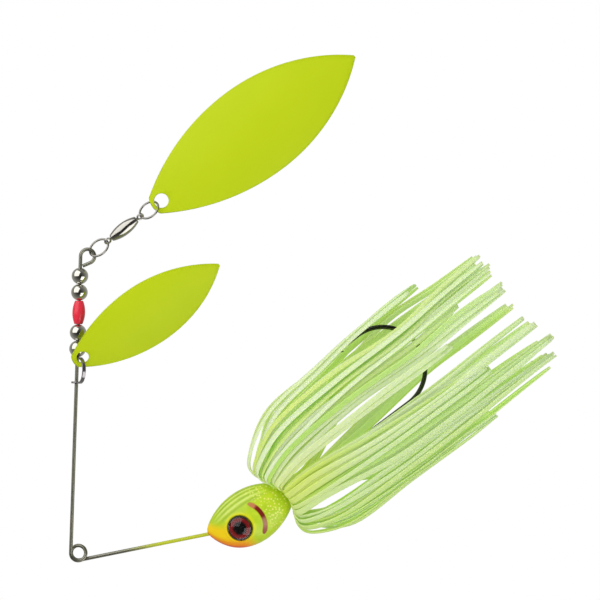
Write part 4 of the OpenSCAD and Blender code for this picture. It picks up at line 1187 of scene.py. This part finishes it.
# %% Blade paint: satin chartreuse, a little deeper along the rim
blade_look, tree = finish_of("blade_paint", {"Specular IOR Level": 0.12})
tone = painted(tree, 0.05, {"Scale": 260.0, "Paint": linear(191, 213, 27), "Thin": linear(196, 216, 31)})
shade(tree, {"Base Color": layered(tree, tone, [(field(tree, "rim"), (186, 208, 20))])})
dress(blade_look, small_blade, large_blade)

# %% [markdown]
# ## The swivel chain
#
# The large blade hangs from the end eye on a ring, a barrel swivel and a second ring. The swivel is a
# hollow spindle with an eye at each end, and each eye's stem turns inside it. Rings are circles of wire
# turned about an axis, and the barrel is a turned profile with rolled ends.

# %% Rings
EIGHTH = np.pi / 4


def ring_skin(name, z, radius, d, turn):
    """A wire ring whose plane holds the plumb line: a circle of diameter d turned at a radius about an
    axis square to that plane."""
    out, axis = (np.cos(turn), np.sin(turn), 0), (-np.sin(turn), np.cos(turn), 0)
    P = turned(np.array([radius, 0]) + circle(d / 2, 24), chain + [0, 0, z], axis, out, 96)
    return skin(name, P, close=(True, True))


arm_ring = ring_skin("upper_wire_ring", arm_ring_z, RING_R, RING_WIRE, EIGHTH)
blade_ring = ring_skin("lower_wire_ring", blade_ring_z, RING_R, RING_WIRE, EIGHTH)
fitted(arm_ring, "upper_ring", "ring_steel", "arm_ring")
fitted(blade_ring, "lower_ring", "ring_steel", "blade_ring")
dress(ring_steel, arm_ring, blade_ring)

# %% Swivel
BARREL_R, BARREL_END, END_ROOM = 1.65, 0.8, 0.25
STEM_R, STEM_CORE, CAP_R, CAP_T, CAP_IN = 0.3, 0.02, 0.75, 0.5, 1.7
CAP_ROUND, CAP_TOP, CAP_FOOT = 0.08, 0.05, 0.07
ROLLED = np.array([[0.86, 3.82], [0.8, 3.93], [0.68, 4.0], [0.52, 3.98], [0.42, 3.88], [0.4, 3.7]])
HOLLOW = np.array([[0.4, 3.2], [0.4, 2.85], [0.66, 2.7], [0.98, 1.6], [1.2, 0.0]])
h = np.linspace(-BARREL_LEN / 2 + END_ROOM, BARREL_LEN / 2 - END_ROOM, 56)
outer = barrel_curve(BARREL_LEN / 2, BARREL_R, BARREL_END, h)
profile = np.concatenate([outer, ROLLED, HOLLOW, mirrored(HOLLOW)[1:], mirrored(ROLLED)])
barrel_grid = turned(profile, chain + [0, 0, barrel_z], (0, 0, 1), (1, 0, 0), 72)
barrel = skin("swivel_spindle", barrel_grid, close=(True, True))
fitted(barrel, "swivel_body", "swivel_nickel", "swivel_barrel")
dress(swivel_nickel, barrel)


def swivel_eye(name, loop_z, way, body, node):
    """A loop, and a stem turned below it: shoulder, neck and the cap that is held inside the barrel."""
    loop = ring_skin(name, loop_z, LOOP_R, LOOP_WIRE, -EIGHTH)
    cap_z = barrel_z + way * (BARREL_LEN / 2 - CAP_IN)
    stem_r = [STEM_CORE, STEM_R, STEM_R, CAP_R - CAP_TOP, CAP_R, CAP_R, CAP_R - CAP_FOOT, STEM_CORE]
    cap_depth = np.array([0, CAP_ROUND, CAP_T - CAP_ROUND, CAP_T, CAP_T])
    foot = loop_z - way * LOOP_R
    stem_z = np.concatenate([[foot, foot, cap_z], cap_z - way * cap_depth])
    stem = turned(np.stack([stem_r, stem_z], 1), chain, (0, 0, 1), (1, 0, 0), 40)
    post = skin(name + "_stem", stem, close=(True, True))
    fitted(loop, body, "swivel_nickel", node)
    fitted(post, body, "swivel_nickel")
    dress(swivel_nickel, loop, post)


swivel_eye("swivel_upper_loop", top_loop_z, 1, "swivel_upper", "swivel_top_eye")
swivel_eye("swivel_lower_loop", bottom_loop_z, -1, "swivel_lower", "swivel_bottom_eye")

# %% [markdown]
# ## Finish
#

# %% The end
bpy.context.scene.view_settings.view_transform = "Standard"
